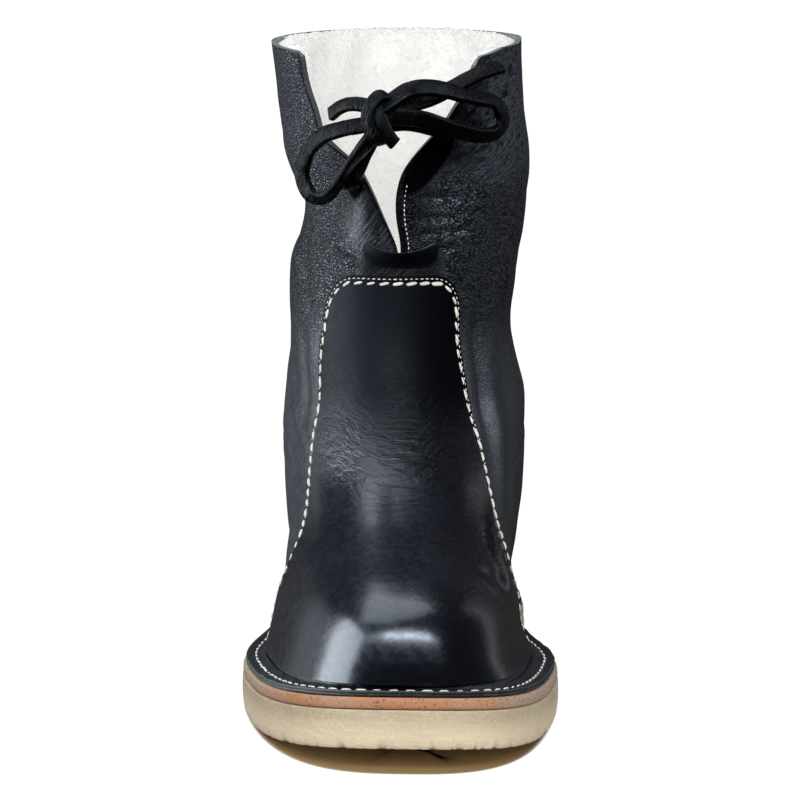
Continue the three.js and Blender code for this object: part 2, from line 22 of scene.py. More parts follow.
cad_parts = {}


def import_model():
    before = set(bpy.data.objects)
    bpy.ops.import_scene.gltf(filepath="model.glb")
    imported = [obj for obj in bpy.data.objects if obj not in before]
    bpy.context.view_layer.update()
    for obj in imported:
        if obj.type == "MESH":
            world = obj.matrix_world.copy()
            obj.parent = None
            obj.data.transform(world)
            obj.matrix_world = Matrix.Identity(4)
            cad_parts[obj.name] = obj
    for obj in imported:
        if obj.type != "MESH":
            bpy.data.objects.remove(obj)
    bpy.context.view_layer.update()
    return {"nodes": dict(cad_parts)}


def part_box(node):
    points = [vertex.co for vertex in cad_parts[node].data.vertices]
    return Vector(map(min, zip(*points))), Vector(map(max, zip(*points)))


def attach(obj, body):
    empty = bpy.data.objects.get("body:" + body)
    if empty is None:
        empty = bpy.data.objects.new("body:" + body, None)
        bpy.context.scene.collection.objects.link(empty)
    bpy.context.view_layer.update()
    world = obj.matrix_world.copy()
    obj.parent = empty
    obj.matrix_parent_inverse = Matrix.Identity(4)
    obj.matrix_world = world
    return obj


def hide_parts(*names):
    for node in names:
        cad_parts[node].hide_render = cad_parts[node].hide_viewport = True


LOG = logging.getLogger("mukluk")
MM = 0.001
BODY = "root"
FRONT = math.pi
TURN = 2 * math.pi

Triple = tuple[float, float, float]
Piece = bpy.types.Object
Socket = bpy.types.NodeSocket
Finishes = dict[str, bpy.types.Material]
Groups = dict[str, bpy.types.NodeTree]


class Side(Enum):
    """Side of the shin, seen from the wearer."""

    OUTER = -1
    INNER = 1


def table(names: str, *rows: tuple[float, ...]) -> Field:
    """Make a dataclass field that holds a short table as named columns.

    Args:
        names: Column names with spaces between them.
        *rows: One tuple for each row.

    Returns:
        The field, whose default is the columns as arrays of floats.
    """
    return field(default_factory=lambda: dict(zip(names.split(), np.array(rows, float).T)))


def smooth_between(rows: Array, position: Array) -> Array:
    """Read a table's column between its rows, by Catmull-Rom on the row number.

    Args:
        rows: The column.
        position: Row numbers, with their fractions.

    Returns:
        The smoothed values.
    """
    last = len(rows) - 1
    at = np.clip(position, 0, last)
    i = np.minimum(at.astype(int), last - 1)
    t = at - i
    a, b, c, d = (rows[np.clip(i + k, 0, last)] for k in (-1, 0, 1, 2))
    return b + 0.5 * t * (c - a + t * (2 * a - 5 * b + 4 * c - d + t * (3 * (b - c) + d - a)))


def through_three(first: Array, middle: Array, last: Array, at: Array) -> Array:
    """Run a smooth curve through three evenly spaced values, level at its two ends.

    Args:
        first: Value at 0.
        middle: Value at 1.
        last: Value at 2.
        at: Place from 0 to 2.

    Returns:
        The curve's values.
    """
    slope = (last - first) / 2
    low = at < 1
    t = np.where(low, np.clip(at, 0, 1), np.clip(at, 1, 2) - 1)
    start = np.where(low, first, middle)
    end = np.where(low, middle, last)
    leave = np.where(low, 0, slope)
    arrive = np.where(low, slope, 0)
    blend = t * t * (3 - 2 * t)
    return start + (end - start) * blend + leave * t * (1 - t) ** 2 - arrive * t * t * (1 - t)


def roundness(u: Array, power: Array) -> Array:
    """Give the share of the full width at a share u of a ring's length."""
    return (2 * np.sqrt(np.maximum(u * (1 - u), 0))) ** power


def unit(vectors: Array) -> Array:
    """Scale vectors to length one, along the last axis."""
    return vectors / np.maximum(np.linalg.norm(vectors, axis=-1, keepdims=True), 1e-12)


def smoothstep(low: float, high: float, value: Array) -> Array:
    """Rise smoothly from 0 at low to 1 at high."""
    t = np.clip((value - low) / (high - low), 0, 1)
    return t * t * (3 - 2 * t)


def bell(value: Array, middle: float, spread: float) -> Array:
    """Rise from 0 to 1 at a middle and fall again."""
    return np.exp(-(((value - middle) / spread) ** 2))


def waves(points: Array, size: float, seed: float, octaves: int = 3) -> Array:
    """Sample soft noise at points.

    Args:
        points: Places, three numbers each, in metres.
        size: Size of the largest lumps, in metres.
        seed: Shift of the noise.
        octaves: How many finer layers it has.

    Returns:
        Values from about -1 to 1, in the shape of the points.
    """
    flat = points.reshape(-1, 3) / size + seed
    values = [noise.fractal(Vector(p), 0.9, 2.1, octaves) for p in flat]
    return np.array(values).reshape(points.shape[:-1])


def lengths(line: Array) -> Array:
    """Measure a line's length up to each of its points."""
    return np.concatenate([[0], np.cumsum(np.linalg.norm(np.diff(line, axis=0), axis=1))])


def read_line(rows: Array, length: Array, at: Array) -> Array:
    """Read rows of three numbers, which stand at lengths along a line, at other lengths."""
    return np.stack([np.interp(at, length, rows[:, k]) for k in range(3)], -1)


def distance_to(line: Array, at: Array) -> Array:
    """Measure how far places are from the nearest point of a line.

    Args:
        line: The line's points.
        at: The places, three numbers each.

    Returns:
        Distances in the shape of the places.
    """
    tree = KDTree(len(line))
    for i, spot in enumerate(line):
        tree.insert(Vector(spot), i)
    tree.balance()
    found = [tree.find(Vector(p))[2] for p in at.reshape(-1, 3)]
    return np.array(found).reshape(at.shape[:-1])


@dataclass
class BootForm:
    """The form of the last and shaft, in metres. Ring 0 is the sole line and the last ring the collar."""

    outsole_length: float
    ball_width: float = 94 * MM
    boot_height: float = 228 * MM
    welt_margin: float = 8.5 * MM
    upper_base: float = 18.1 * MM
    toe_spring: float = 8 * MM
    spring_start_share: float = 0.18
    fold_depth: float = 6 * MM
    crease_shoulder: float = 0.35
    ring_pitch: float = 17 * MM
    girth_radius: float = 45 * MM
    outline_sides: int = 52
    back_station: float = 0.2
    toe_station: float = 0.7
    step: float = 0.02
    rings: dict[str, Array] = table(
        "front_y front_rise back_y back_rise heel mid_outer mid_inner toe_outer toe_inner"
        " toe_shift toe_round heel_round",
        (-0.5, 0, 0.5, 0, 0.365, 0.41, 0.385, 0.5, 0.495, 0.15, 0.63, 0.74),
        (-0.499, 0.057, 0.504, 0.057, 0.395, 0.415, 0.39, 0.462, 0.435, 0.145, 0.66, 0.77),
        (-0.474, 0.12, 0.507, 0.119, 0.415, 0.425, 0.412, 0.432, 0.415, 0.14, 0.72, 0.82),
        (-0.412, 0.168, 0.507, 0.167, 0.425, 0.436, 0.426, 0.402, 0.4, 0.12, 0.82, 0.86),
        (-0.322, 0.208, 0.504, 0.214, 0.43, 0.447, 0.438, 0.38, 0.385, 0.1, 0.9, 0.9),
        (-0.232, 0.248, 0.498, 0.257, 0.43, 0.457, 0.454, 0.375, 0.384, 0.07, 0.95, 0.94),
        (-0.146, 0.3, 0.491, 0.31, 0.425, 0.467, 0.464, 0.385, 0.395, 0.045, 1, 1),
        (-0.067, 0.38, 0.481, 0.376, 0.41, 0.462, 0.462, 0.395, 0.405, 0.02, 1, 1),
        (-0.016, 0.495, 0.472, 0.486, 0.375, 0.433, 0.402, 0.395, 0.38, 0, 1, 1),
        (0.008, 0.615, 0.468, 0.605, 0.38, 0.434, 0.438, 0.4, 0.41, 0, 1, 1),
        (0.02, 0.7, 0.47, 0.69, 0.37, 0.39, 0.475, 0.365, 0.44, 0, 1, 1),
        (0.026, 0.8, 0.474, 0.785, 0.4, 0.447, 0.49, 0.42, 0.455, 0, 1, 1),
        (0.024, 0.905, 0.479, 0.885, 0.4, 0.475, 0.472, 0.44, 0.445, -0.01, 1, 1),
        (0.02, 1, 0.487, 0.983, 0.405, 0.5, 0.462, 0.46, 0.435, -0.02, 1, 1),
    )
    # Rolls and hollows: ring and angle of the middle, spreads in rings and degrees, depth out.
    folds: dict[str, Array] = table(
        "ring angle ring_spread angle_spread depth",
        (10.9, 28, 0.8, 13, -0.8),
        (10.8, 6, 0.8, 9, 0.75),
        (10.6, -40, 0.7, 12, -0.6),
        (10.7, -14, 0.7, 9, 0.5),
        (13, 44, 0.55, 18, 0.75),
        (13, -52, 0.8, 16, 0.45),
        (10.1, -82, 0.7, 30, -0.35),
        (7.2, 62, 0.45, 26, -0.3),
        (7.3, -60, 0.45, 26, -0.3),
        (7.1, 0, 0.4, 40, -0.22),
        (8.2, 180, 1, 40, -0.3),
        (8, 96, 1.4, 12, 0.35),
    )
    # Creases: the line's two ends, its bow, half width and depth, in millimetres.
    creases: dict[str, Array] = table(
        "ring angle end_ring end_angle bow width depth",
        (8.5, 60, 4.0, 70, 1.5, 3.2, 1.5),
        (8.8, 47, 6.3, 55, 0.5, 2.6, -1.2),
        (8.0, 75, 4.6, 83, 1.0, 3.4, -1.1),
        (9.4, 66, 7.2, 88, -2.0, 3.0, 0.8),
        (9.6, 84, 7.9, 112, -1.5, 2.6, -0.7),
        (4.9, 50, 2.2, 62, 2.0, 2.6, 0.9),
        (4.4, 44, 2.4, 54, 1.5, 2.4, -0.7),
        (3.3, 36, 2.2, 56, -1.5, 2.0, -0.5),
        (9.9, -62, 8.3, -46, 1.5, 2.6, -0.9),
        (9.5, -80, 8.6, -48, -1.0, 2.2, 0.7),
        (8.4, -52, 6.6, -58, 1.5, 2.8, -0.7),
        (7.6, -84, 6.3, -56, 1.0, 2.4, 0.6),
        (10.0, -40, 9.35, -16, 1.2, 1.4, -0.7),
        (9.75, -46, 9.2, -14, 1.0, 1.3, 0.5),
        (10.5, 9, 10.45, 36, -0.8, 1.1, -0.5),
        (10.15, 10, 10.1, 34, -0.6, 1.0, -0.45),
        (9.85, 12, 9.9, 38, -0.6, 1.1, -0.45),
        (9.6, 15, 9.55, 34, 0.5, 1.0, -0.35),
        (12.6, 44, 11.5, 62, 1.0, 1.6, 0.45),
        (12.8, 62, 11.0, 84, 1.6, 1.8, -0.5),
        (12.2, 78, 10.3, 98, 1.2, 1.8, 0.5),
        (11.4, 50, 10.2, 70, -1.2, 1.5, -0.45),
        (12.3, -64, 10.9, -88, 1.4, 1.8, -0.5),
        (8.6, 150, 7.4, 120, 2.0, 2.8, -0.9),
        (8.3, -150, 7.2, -118, 2.0, 2.8, -0.9),
        (7.3, 165, 6.4, 130, 1.6, 2.4, 0.7),
        (7.4, -168, 6.3, -128, 1.6, 2.4, 0.7),
        (6.2, 108, 5.4, 84, -1.2, 2.2, -0.6),
        (6.3, -106, 5.3, -82, -1.2, 2.2, -0.6),
    )

    def __post_init__(self) -> None:
        """Work out the sizes that follow from the driving ones."""
        self.foot_length = self.outsole_length - 2 * self.welt_margin
        self.shaft_height = self.boot_height - self.upper_base
        self.collar = len(self.rings["heel"]) - 1
        self.centre = np.zeros(3)
        turns = TURN * np.arange(self.outline_sides) / self.outline_sides
        outline = self.outline(turns, self.welt_margin, 0.0)
        self.centre[:2] = (outline.min(0)[:2] + outline.max(0)[:2]) / 2

    def value(self, column: str, ring: Array) -> Array:
        """Read a column of the rings' table at rings."""
        return smooth_between(self.rings[column], ring)

    def half_width(self, ring: Array, u: Array, side: Side) -> Array:
        """Give a ring's half width at shares u of its length from the heel, on one side."""
        power = self.value("heel_round", ring)
        power = power + (self.value("toe_round", ring) - power) * u
        names = {
            Side.INNER: ("heel", "mid_inner", "toe_inner"),
            Side.OUTER: ("heel", "mid_outer", "toe_outer"),
        }[side]
        spacing = (self.toe_station - self.back_station) / 2
        full = [
            self.value(name, ring) / roundness(self.back_station + i * spacing + 0 * u, power)
            for i, name in enumerate(names)
        ]
        curve = through_three(*full, (u - self.back_station) / spacing)
        return self.ball_width * curve * roundness(u, power)

    def lift(self, y: Array) -> Array:
        """Give the height that the toe spring adds at y."""
        start = self.spring_start_share * self.outsole_length
        ahead = np.maximum(-y - start, 0) / (self.outsole_length / 2 - start)
        return self.toe_spring * ahead * ahead

    def last(self, ring: Array | float, angle: Array | float) -> Array:
        """Give points of the plain last. Angle 0 is the heel and FRONT the toe."""
        ring, angle = np.broadcast_arrays(np.asarray(ring, float), np.asarray(angle, float))
        u = (1 - np.cos(angle)) / 2
        y = self.value("back_y", ring)
        y = self.foot_length * (y + (self.value("front_y", ring) - y) * u)
        rise = self.value("back_rise", ring)
        rise = self.shaft_height * (rise + (self.value("front_rise", ring) - rise) * u)
        middle = self.ball_width * self.value("toe_shift", ring) * u * u
        x = np.where(
            np.sin(angle) >= 0,
            middle + self.half_width(ring, u, Side.INNER),
            middle - self.half_width(ring, u, Side.OUTER),
        )
        return np.stack([x, y, self.upper_base + rise + self.lift(y)], -1) - self.centre

    def normal(self, ring: Array | float, angle: Array | float) -> Array:
        """Give outward directions of the last."""
        along = self.last(np.minimum(ring + self.step, self.collar), angle)
        along = along - self.last(np.maximum(ring - self.step, 0), angle)
        around = self.last(ring, angle + self.step) - self.last(ring, angle - self.step)
        return unit(np.cross(along, around))

    def relief(self, ring: Array, angle: Array, creased: bool = True) -> Array:
        """Give the height of the leather's rolls, hollows and creases.

        Args:
            ring: Rings.
            angle: Angles.
            creased: Whether the listed creases count, or only the large rolls.

        Returns:
            Heights in metres, out positive.
        """
        turn = np.degrees(FRONT - angle)
        height = np.zeros(np.broadcast(ring, angle).shape)
        for ring_at, angle_at, ring_spread, angle_spread, depth in zip(*self.folds.values()):
            around = (turn - angle_at + 180) % 360 - 180
            reach = ((ring - ring_at) / ring_spread) ** 2 + (around / angle_spread) ** 2
            height = height + self.fold_depth * depth * np.exp(-reach)
        if creased:
            for row in zip(*self.creases.values()):
                height = height + self.crease(ring, turn, row)
        return height

    def crease(self, ring: Array, turn: Array, row: tuple[float, ...]) -> Array:
        """Give the height of one crease, a soft trough or ridge along a bowed line.

        Args:
            ring: Rings of the places.
            turn: Their degrees from the shin.
            row: A row of the creases' table.

        Returns:
            Heights in metres.
        """
        start_ring, start_turn, end_ring, end_turn, bow, width, depth = row
        pitch = np.array([self.ring_pitch, math.radians(self.girth_radius)]) / MM
        start = np.array([start_ring, start_turn]) * pitch
        way = np.array([end_ring, end_turn]) * pitch - start
        length = float(np.hypot(*way))
        around = (turn - start_turn + 180) % 360 - 180 + start_turn
        across = np.stack(np.broadcast_arrays(ring * pitch[0] - start[0], around * pitch[1] - start[1]), -1)
        t = across @ way / length**2
        off = (across[..., 0] * -way[1] + across[..., 1] * way[0]) / length
        off = off - bow * 4 * t * (1 - t)
        fade = smoothstep(-0.12, 0.25, t) * (1 - smoothstep(0.75, 1.12, t))
        trough = bell(off, 0, width)
        shoulder = bell(np.abs(off), 2 * width, width)
        return depth * MM * fade * (trough - self.crease_shoulder * shoulder)

    def point(self, ring: Array | float, angle: Array | float, out: Array | float,
              creased: bool = True) -> Array:
        """Give points of the boot's form.

        Args:
            ring: Rings.
            angle: Angles.
            out: Distance out from the upper's outer face.
            creased: Whether the listed creases count.

        Returns:
            The points.
        """
        height = self.relief(np.asarray(ring, float), np.asarray(angle, float), creased) + out
        return self.last(ring, angle) + self.normal(ring, angle) * height[..., None]

    def outline(self, angle: Array, out: Array | float, z: Array | float) -> Array:
        """Give points of the sole's outline.

        Args:
            angle: Angles.
            out: Distance out from the line where the upper meets the sole.
            z: Height before the toe spring.

        Returns:
            The points.
        """
        here = self.last(0.0, angle)
        around = self.last(0.0, angle + self.step) - self.last(0.0, angle - self.step)
        away = unit(np.stack([-around[..., 1], around[..., 0]], -1))
        flat = here[..., :2] + away * np.asarray(out)[..., None]
        y = flat[..., 1] + self.centre[1]
        return np.concatenate([flat, (z + self.lift(y))[..., None]], -1)


def add_piece(mesh: bpy.types.Mesh, *finishes: bpy.types.Material) -> Piece:
    """Give a mesh its materials and put it in the scene under its name."""
    for finish in finishes:
        mesh.materials.append(finish)
    piece = bpy.data.objects.new(mesh.name, mesh)
    bpy.context.scene.collection.objects.link(piece)
    return piece


def mesh_of(name: str, points: Array, faces: list[list[int]]) -> bpy.types.Mesh:
    """Make a mesh from points and faces."""
    mesh = bpy.data.meshes.new(name)
    mesh.from_pydata(points.reshape(-1, 3).tolist(), [], faces)
    return mesh


@dataclass
class Draft:
    """Vertices and faces of a piece while it is laid out."""

    points: list[Array] = field(default_factory=list)
    faces: list[list[int]] = field(default_factory=list)
    finishes: list[int] = field(default_factory=list)
    count: int = 0

    def add_points(self, points: Array) -> Array:
        """Add points and return their numbers, in the same layout."""
        flat = points.reshape(-1, 3)
        numbers = np.arange(self.count, self.count + len(flat)).reshape(points.shape[:-1])
        self.points.append(flat)
        self.count += len(flat)
        return numbers

    def add_faces(self, faces: list[list[int]], finish: int = 0) -> None:
        """Add faces that share one finish."""
        self.faces.extend(faces)
        self.finishes.extend([finish] * len(faces))

    def add_grid(self, numbers: Array, finish: int = 0, wrap: bool = False) -> None:
        """Fill a grid of numbered points with quads.

        Args:
            numbers: Point numbers, by rows and columns.
            finish: Material number.
            wrap: Whether the last column joins the first.
        """
        if wrap:
            numbers = np.concatenate([numbers, numbers[:, :1]], 1)
        quads = np.stack([numbers[:-1, :-1], numbers[:-1, 1:], numbers[1:, 1:], numbers[1:, :-1]], -1)
        self.add_faces(quads.reshape(-1, 4).tolist(), finish)

    def build(self, name: str, finishes: list[bpy.types.Material], sharp: float = 60.0) -> Piece:
        """Make the piece.

        Args:
            name: The piece's name.
            finishes: Its materials, by number.
            sharp: Edges that turn more than this many degrees stay sharp.

        Returns:
            The object, linked to the scene.
        """
        mesh = mesh_of(name, np.concatenate(self.points), self.faces)
        mesh.polygons.foreach_set("material_index", self.finishes)
        work = bmesh.new()
        work.from_mesh(mesh)
        bmesh.ops.remove_doubles(work, verts=work.verts, dist=0.004 * MM)
        loose = [v for v in work.verts if not v.link_faces]
        bmesh.ops.delete(work, geom=loose, context="VERTS")
        bmesh.ops.recalc_face_normals(work, faces=work.faces)
        work.to_mesh(mesh)
        work.free()
        mesh.shade_smooth()
        mesh.set_sharp_from_angle(angle=math.radians(sharp))
        return add_piece(mesh, *finishes)


def add_mask(piece: Piece, name: str, values: Array) -> None:
    """Store a named mask for the material, with one value for each vertex."""
    mask = piece.data.attributes.new(name, "FLOAT", "POINT")
    mask.data.foreach_set("value", values.astype(np.float32))


def places(piece: Piece) -> Array:
    """Read the places of a piece's vertices."""
    found = np.zeros(len(piece.data.vertices) * 3, np.float32)
    piece.data.vertices.foreach_get("co", found)
    return found.reshape(-1, 3).astype(float)


@dataclass
class Shell:
    """A sheet with thickness: a fine seen face, a coarse hidden face and the cut edge between them.

    Rows run from the bottom up and columns round the boot, from one edge of the slit to the other. Rows
    up to open_row are closed in front.
    """

    seen: Array
    hidden: Array
    open_row: int
    coarse: int = 3
    edge_finish: int = 1
    hidden_finish: int = 2
    rim_finish: int = 1

    def lay(self, draft: Draft, seen_finish: Array | None = None) -> None:
        """Add the sheet to a draft.

        Args:
            draft: Where it goes.
            seen_finish: Material number of each row of quads on the seen face, or None for 0.
        """
        seen = draft.add_points(self.seen)
        seen[: self.open_row + 1, -1] = seen[: self.open_row + 1, 0]
        if seen_finish is None:
            draft.add_grid(seen)
        else:
            for i, finish in enumerate(seen_finish):
                draft.add_grid(seen[i:i + 2], int(finish))
        back = draft.add_points(self.hidden[:: self.coarse, :: self.coarse])
        open_back = self.open_row // self.coarse
        back[: open_back + 1, -1] = back[: open_back + 1, 0]
        draft.add_grid(back, self.hidden_finish)
        self.edge(draft, list(seen[0]), list(back[0]), self.edge_finish)
        self.edge(draft, list(seen[self.open_row:, 0]), list(back[open_back:, 0]), self.edge_finish)
        self.edge(draft, list(seen[self.open_row:, -1]), list(back[open_back:, -1]), self.edge_finish)
        self.edge(draft, list(seen[-1]), list(back[-1]), self.rim_finish)

    def lay_open(self, draft: Draft) -> None:
        """Add the sheet to a draft as a patch with four free edges."""
        seen = draft.add_points(self.seen)
        draft.add_grid(seen)
        back = draft.add_points(self.hidden[:: self.coarse, :: self.coarse])
        draft.add_grid(back, self.hidden_finish)
        self.edge(draft, list(seen[-1]), list(back[-1]), self.rim_finish)
        for line in (np.s_[0, :], np.s_[:, 0], np.s_[:, -1]):
            self.edge(draft, list(seen[line]), list(back[line]), self.edge_finish)

    def edge(self, draft: Draft, fine: list[int], rough: list[int], finish: int) -> None:
        """Join a fine line of points to a coarse one.

        Args:
            draft: Where the faces go.
            fine: Numbers along the seen face.
            rough: Numbers along the hidden face.
            finish: Material number.
        """
        faces = []
        for j in range(len(rough) - 1):
            span = fine[j * self.coarse:(j + 1) * self.coarse + 1]
            face = [*span, rough[j + 1], rough[j]]
            faces.append([int(n) for k, n in enumerate(face) if n != face[k - 1]])
        draft.add_faces([face for face in faces if len(face) > 2], finish)


@dataclass
class Slit:
    """The open V between the two flaps. Rises are shares of the shaft, edges of the ball width."""

    form: BootForm
    bottom_ring: float = 9.36
    edges: dict[str, Array] = table(
        "rise outer inner",
        (0.64, 0.026, 0.033),
        (0.665, 0.023, 0.035),
        (0.685, 0.006, 0.03),
        (0.708, -0.02, 0.02),
        (0.735, -0.048, 0.015),
        (0.763, -0.076, 0.019),
        (0.79, -0.108, 0.034),
        (0.81, -0.145, 0.058),
        (0.825, -0.2, 0.086),
        (0.843, -0.262, 0.126),
        (0.862, -0.288, 0.172),
        (0.885, -0.3, 0.214),
        (0.92, -0.326, 0.252),
        (0.96, -0.35, 0.29),
        (1.0, -0.362, 0.32),
        (1.04, -0.366, 0.36),
    )

    def turn(self, ring: Array, side: Side, extra: float = 0.0) -> Array:
        """Find where the slit's edge crosses rings.

        Args:
            ring: Rings.
            side: Which edge.
            extra: How far the edge is cut back, in metres.

        Returns:
            Angles from the shin, positive to the inner side.
        """
        sign = side.value
        low = np.full(ring.shape, math.radians(-20))
        high = np.full(ring.shape, math.radians(85))
        column = self.edges["inner" if side is Side.INNER else "outer"]
        for _ in range(26):
            middle = (low + high) / 2
            place = self.form.point(ring, FRONT - sign * middle, 0.0, creased=False) + self.form.centre
            rise = (place[..., 2] - self.form.upper_base) / self.form.shaft_height
            rows = np.interp(rise, self.edges["rise"], np.arange(len(column)))
            edge = self.form.ball_width * smooth_between(column, rows)
            inside = sign * (place[..., 0] - edge) < extra
            low = np.where(inside, middle, low)
            high = np.where(inside, high, middle)
        turn = sign * (low + high) / 2
        padded = np.pad(turn, 3, mode="edge")
        return np.convolve(padded, np.ones(7) / 7, mode="valid")

    def angles(self, ring: Array, count: int, extra: float = 0.0) -> Array:
        """Spread columns round the boot from the inner edge by the heel to the outer edge.

        Args:
            ring: Rings, one for each row.
            count: How many columns.
            extra: How far the edges are cut back, in metres.

        Returns:
            Angles by rows and columns.
        """
        inner = self.turn(ring, Side.INNER, extra)
        outer = self.turn(ring, Side.OUTER, extra)
        closed = ring <= self.bottom_ring
        seam = (inner + outer) / 2
        inner = np.where(closed, seam[~closed][0], np.maximum(inner, seam + 0.002))
        outer = np.where(closed, seam[~closed][0], np.minimum(outer, seam - 0.002))
        t = np.linspace(0, 1, count)[None, :]
        turn = inner[:, None] + t * (TURN + outer - inner)[:, None]
        return FRONT - turn

    def rounded(self, rows: Array, angles: Array) -> Array:
        """Lower the rows near the flaps' top corners, which are round and sag a little.

        Args:
            rows: Ring of each row.
            angles: Angles by rows and columns.

        Returns:
            Rings by rows and columns.
        """
        rim = self.form.point(self.form.collar, angles[-1], 0.0)
        length = lengths(rim)
        drop = np.zeros(length.shape)
        for away, radius, sag, reach in (
            (length, 3.6 * MM, 3.2 * MM, 20 * MM),
            (length[-1] - length, 2.4 * MM, 1.4 * MM, 14 * MM),
        ):
            short = np.maximum(radius - away, 0)
            drop = drop + radius - np.sqrt(radius**2 - short**2) + sag * (1 - smoothstep(0, reach, away))
        last = self.form.collar
        pitch = np.linalg.norm(self.form.last(last, FRONT) - self.form.last(last - 1, FRONT))
        fade = smoothstep(last - 1.2, last, rows)
        return rows[:, None] - drop[None, :] / pitch * fade[:, None]

    def distance(self, at: Array, side: Side) -> Array:
        """Measure how far places are from the slit's edge on one side."""
        rings = np.linspace(self.bottom_ring, self.form.collar, 240)
        return distance_to(self.form.point(rings, FRONT - self.turn(rings, side), 0.0), at)


def new_group(name: str, inputs: dict[str, float], outputs: dict[str, str]) -> bpy.types.NodeTree:
    """Start a shader node group.

    Args:
        name: The group's name.
        inputs: Number inputs and their defaults.
        outputs: Outputs and their socket types.

    Returns:
        The group, with its input and output nodes named "in" and "out".
    """
    group = bpy.data.node_groups.new(name, "ShaderNodeTree")
    for label, default in inputs.items():
        made = group.interface.new_socket(label, in_out="INPUT", socket_type="NodeSocketFloat")
        made.default_value = default
    for label, kind in outputs.items():
        group.interface.new_socket(label, in_out="OUTPUT", socket_type=kind)
    start = group.nodes.new("NodeGroupInput")
    start.name = "in"
    end = group.nodes.new("NodeGroupOutput")
    end.name = "out"
    return group


class Wiring:
    """Short calls for placing and joining nodes in one tree."""

    def __init__(self, tree: bpy.types.NodeTree) -> None:
        """Keep the tree that is being wired."""
        self.tree = tree

    def node(self, kind: str, **settings: object) -> bpy.types.Node:
        """Place a node and set its properties.

        Args:
            kind: The node's type.
            **settings: Properties, or inputs by name with _ for spaces.

        Returns:
            The node.
        """
        made = self.tree.nodes.new(kind)
        for key, value in settings.items():
            if hasattr(made, key):
                setattr(made, key, value)
            else:
                self.feed(made.inputs[key.replace("_", " ")], value)
        return made

    def feed(self, socket: Socket, value: object) -> None:
        """Link a socket to another, or set its value."""
        if isinstance(value, Socket):
            self.tree.links.new(value, socket)
        else:
            socket.default_value = value

    def chain(self, made: bpy.types.Node, values: tuple[object, ...]) -> Socket:
        """Feed a node's first inputs in order and return its first output."""
        for socket, value in zip(made.inputs, values):
            self.feed(socket, value)
        return made.outputs[0]

    def math(self, operation: str, *values: object) -> Socket:
        """Place a Math node and return its output."""
        return self.chain(self.node("ShaderNodeMath", operation=operation), values)

    def times(self, first: object, second: object) -> Socket:
        """Multiply two numbers."""
        return self.math("MULTIPLY", first, second)

    def vector(self, operation: str, *values: object) -> Socket:
        """Place a Vector Math node and return its first output."""
        return self.chain(self.node("ShaderNodeVectorMath", operation=operation), values)

    def ramp(self, value: object, low: float, high: float, start: float = 0.0,
             end: float = 1.0) -> Socket:
        """Map a value smoothly from low..high to start..end."""
        made = self.node("ShaderNodeMapRange", interpolation_type="SMOOTHSTEP")
        return self.chain(made, (value, low, high, start, end))

    def blend(self, mask: object, first: object, second: object) -> Socket:
        """Blend two colours by a mask."""
        made = self.node("ShaderNodeMix", data_type="RGBA")
        for i, value in ((0, mask), (6, first), (7, second)):
            self.feed(made.inputs[i], value)
        return made.outputs[2]

    def mix(self, mask: object, first: object, second: object) -> Socket:
        """Mix two numbers by a mask."""
        made = self.node("ShaderNodeMix", data_type="FLOAT")
        for i, value in ((0, mask), (2, first), (3, second)):
            self.feed(made.inputs[i], value)
        return made.outputs[0]

    def mask(self, name: str) -> Socket:
        """Read a mask that is stored on the piece's points."""
        return self.node("ShaderNodeAttribute", attribute_name=name).outputs["Fac"]

    def place(self) -> Socket:
        """Read the place on the piece, in metres of its own frame."""
        return self.node("ShaderNodeTexCoord").outputs["Object"]

    def relief(self, height: object) -> Socket:
        """Turn a height in metres into bumps of the surface."""
        return self.node("ShaderNodeBump", Height=height, Distance=1.0, Strength=1.0).outputs[0]

    def fill(self, node: bpy.types.Node, **inputs: object) -> bpy.types.Node:
        """Feed a node's inputs, named with _ for spaces, and return the node."""
        for key, value in inputs.items():
            self.feed(node.inputs[key.replace("_", " ")], value)
        return node

    def noise(self, place: object, scale: object, detail: float = 3.0,
              rough: float = 0.55) -> Socket:
        """Place a noise texture and return its value."""
        made = self.node("ShaderNodeTexNoise", Vector=place, Scale=scale, Detail=detail, Roughness=rough)
        return made.outputs[0]

    def group(self, group: bpy.types.NodeTree, **inputs: object) -> bpy.types.Node:
        """Place a node group and feed its inputs."""
        made = self.tree.nodes.new("ShaderNodeGroup")
        made.node_tree = group
        return self.fill(made, **inputs)


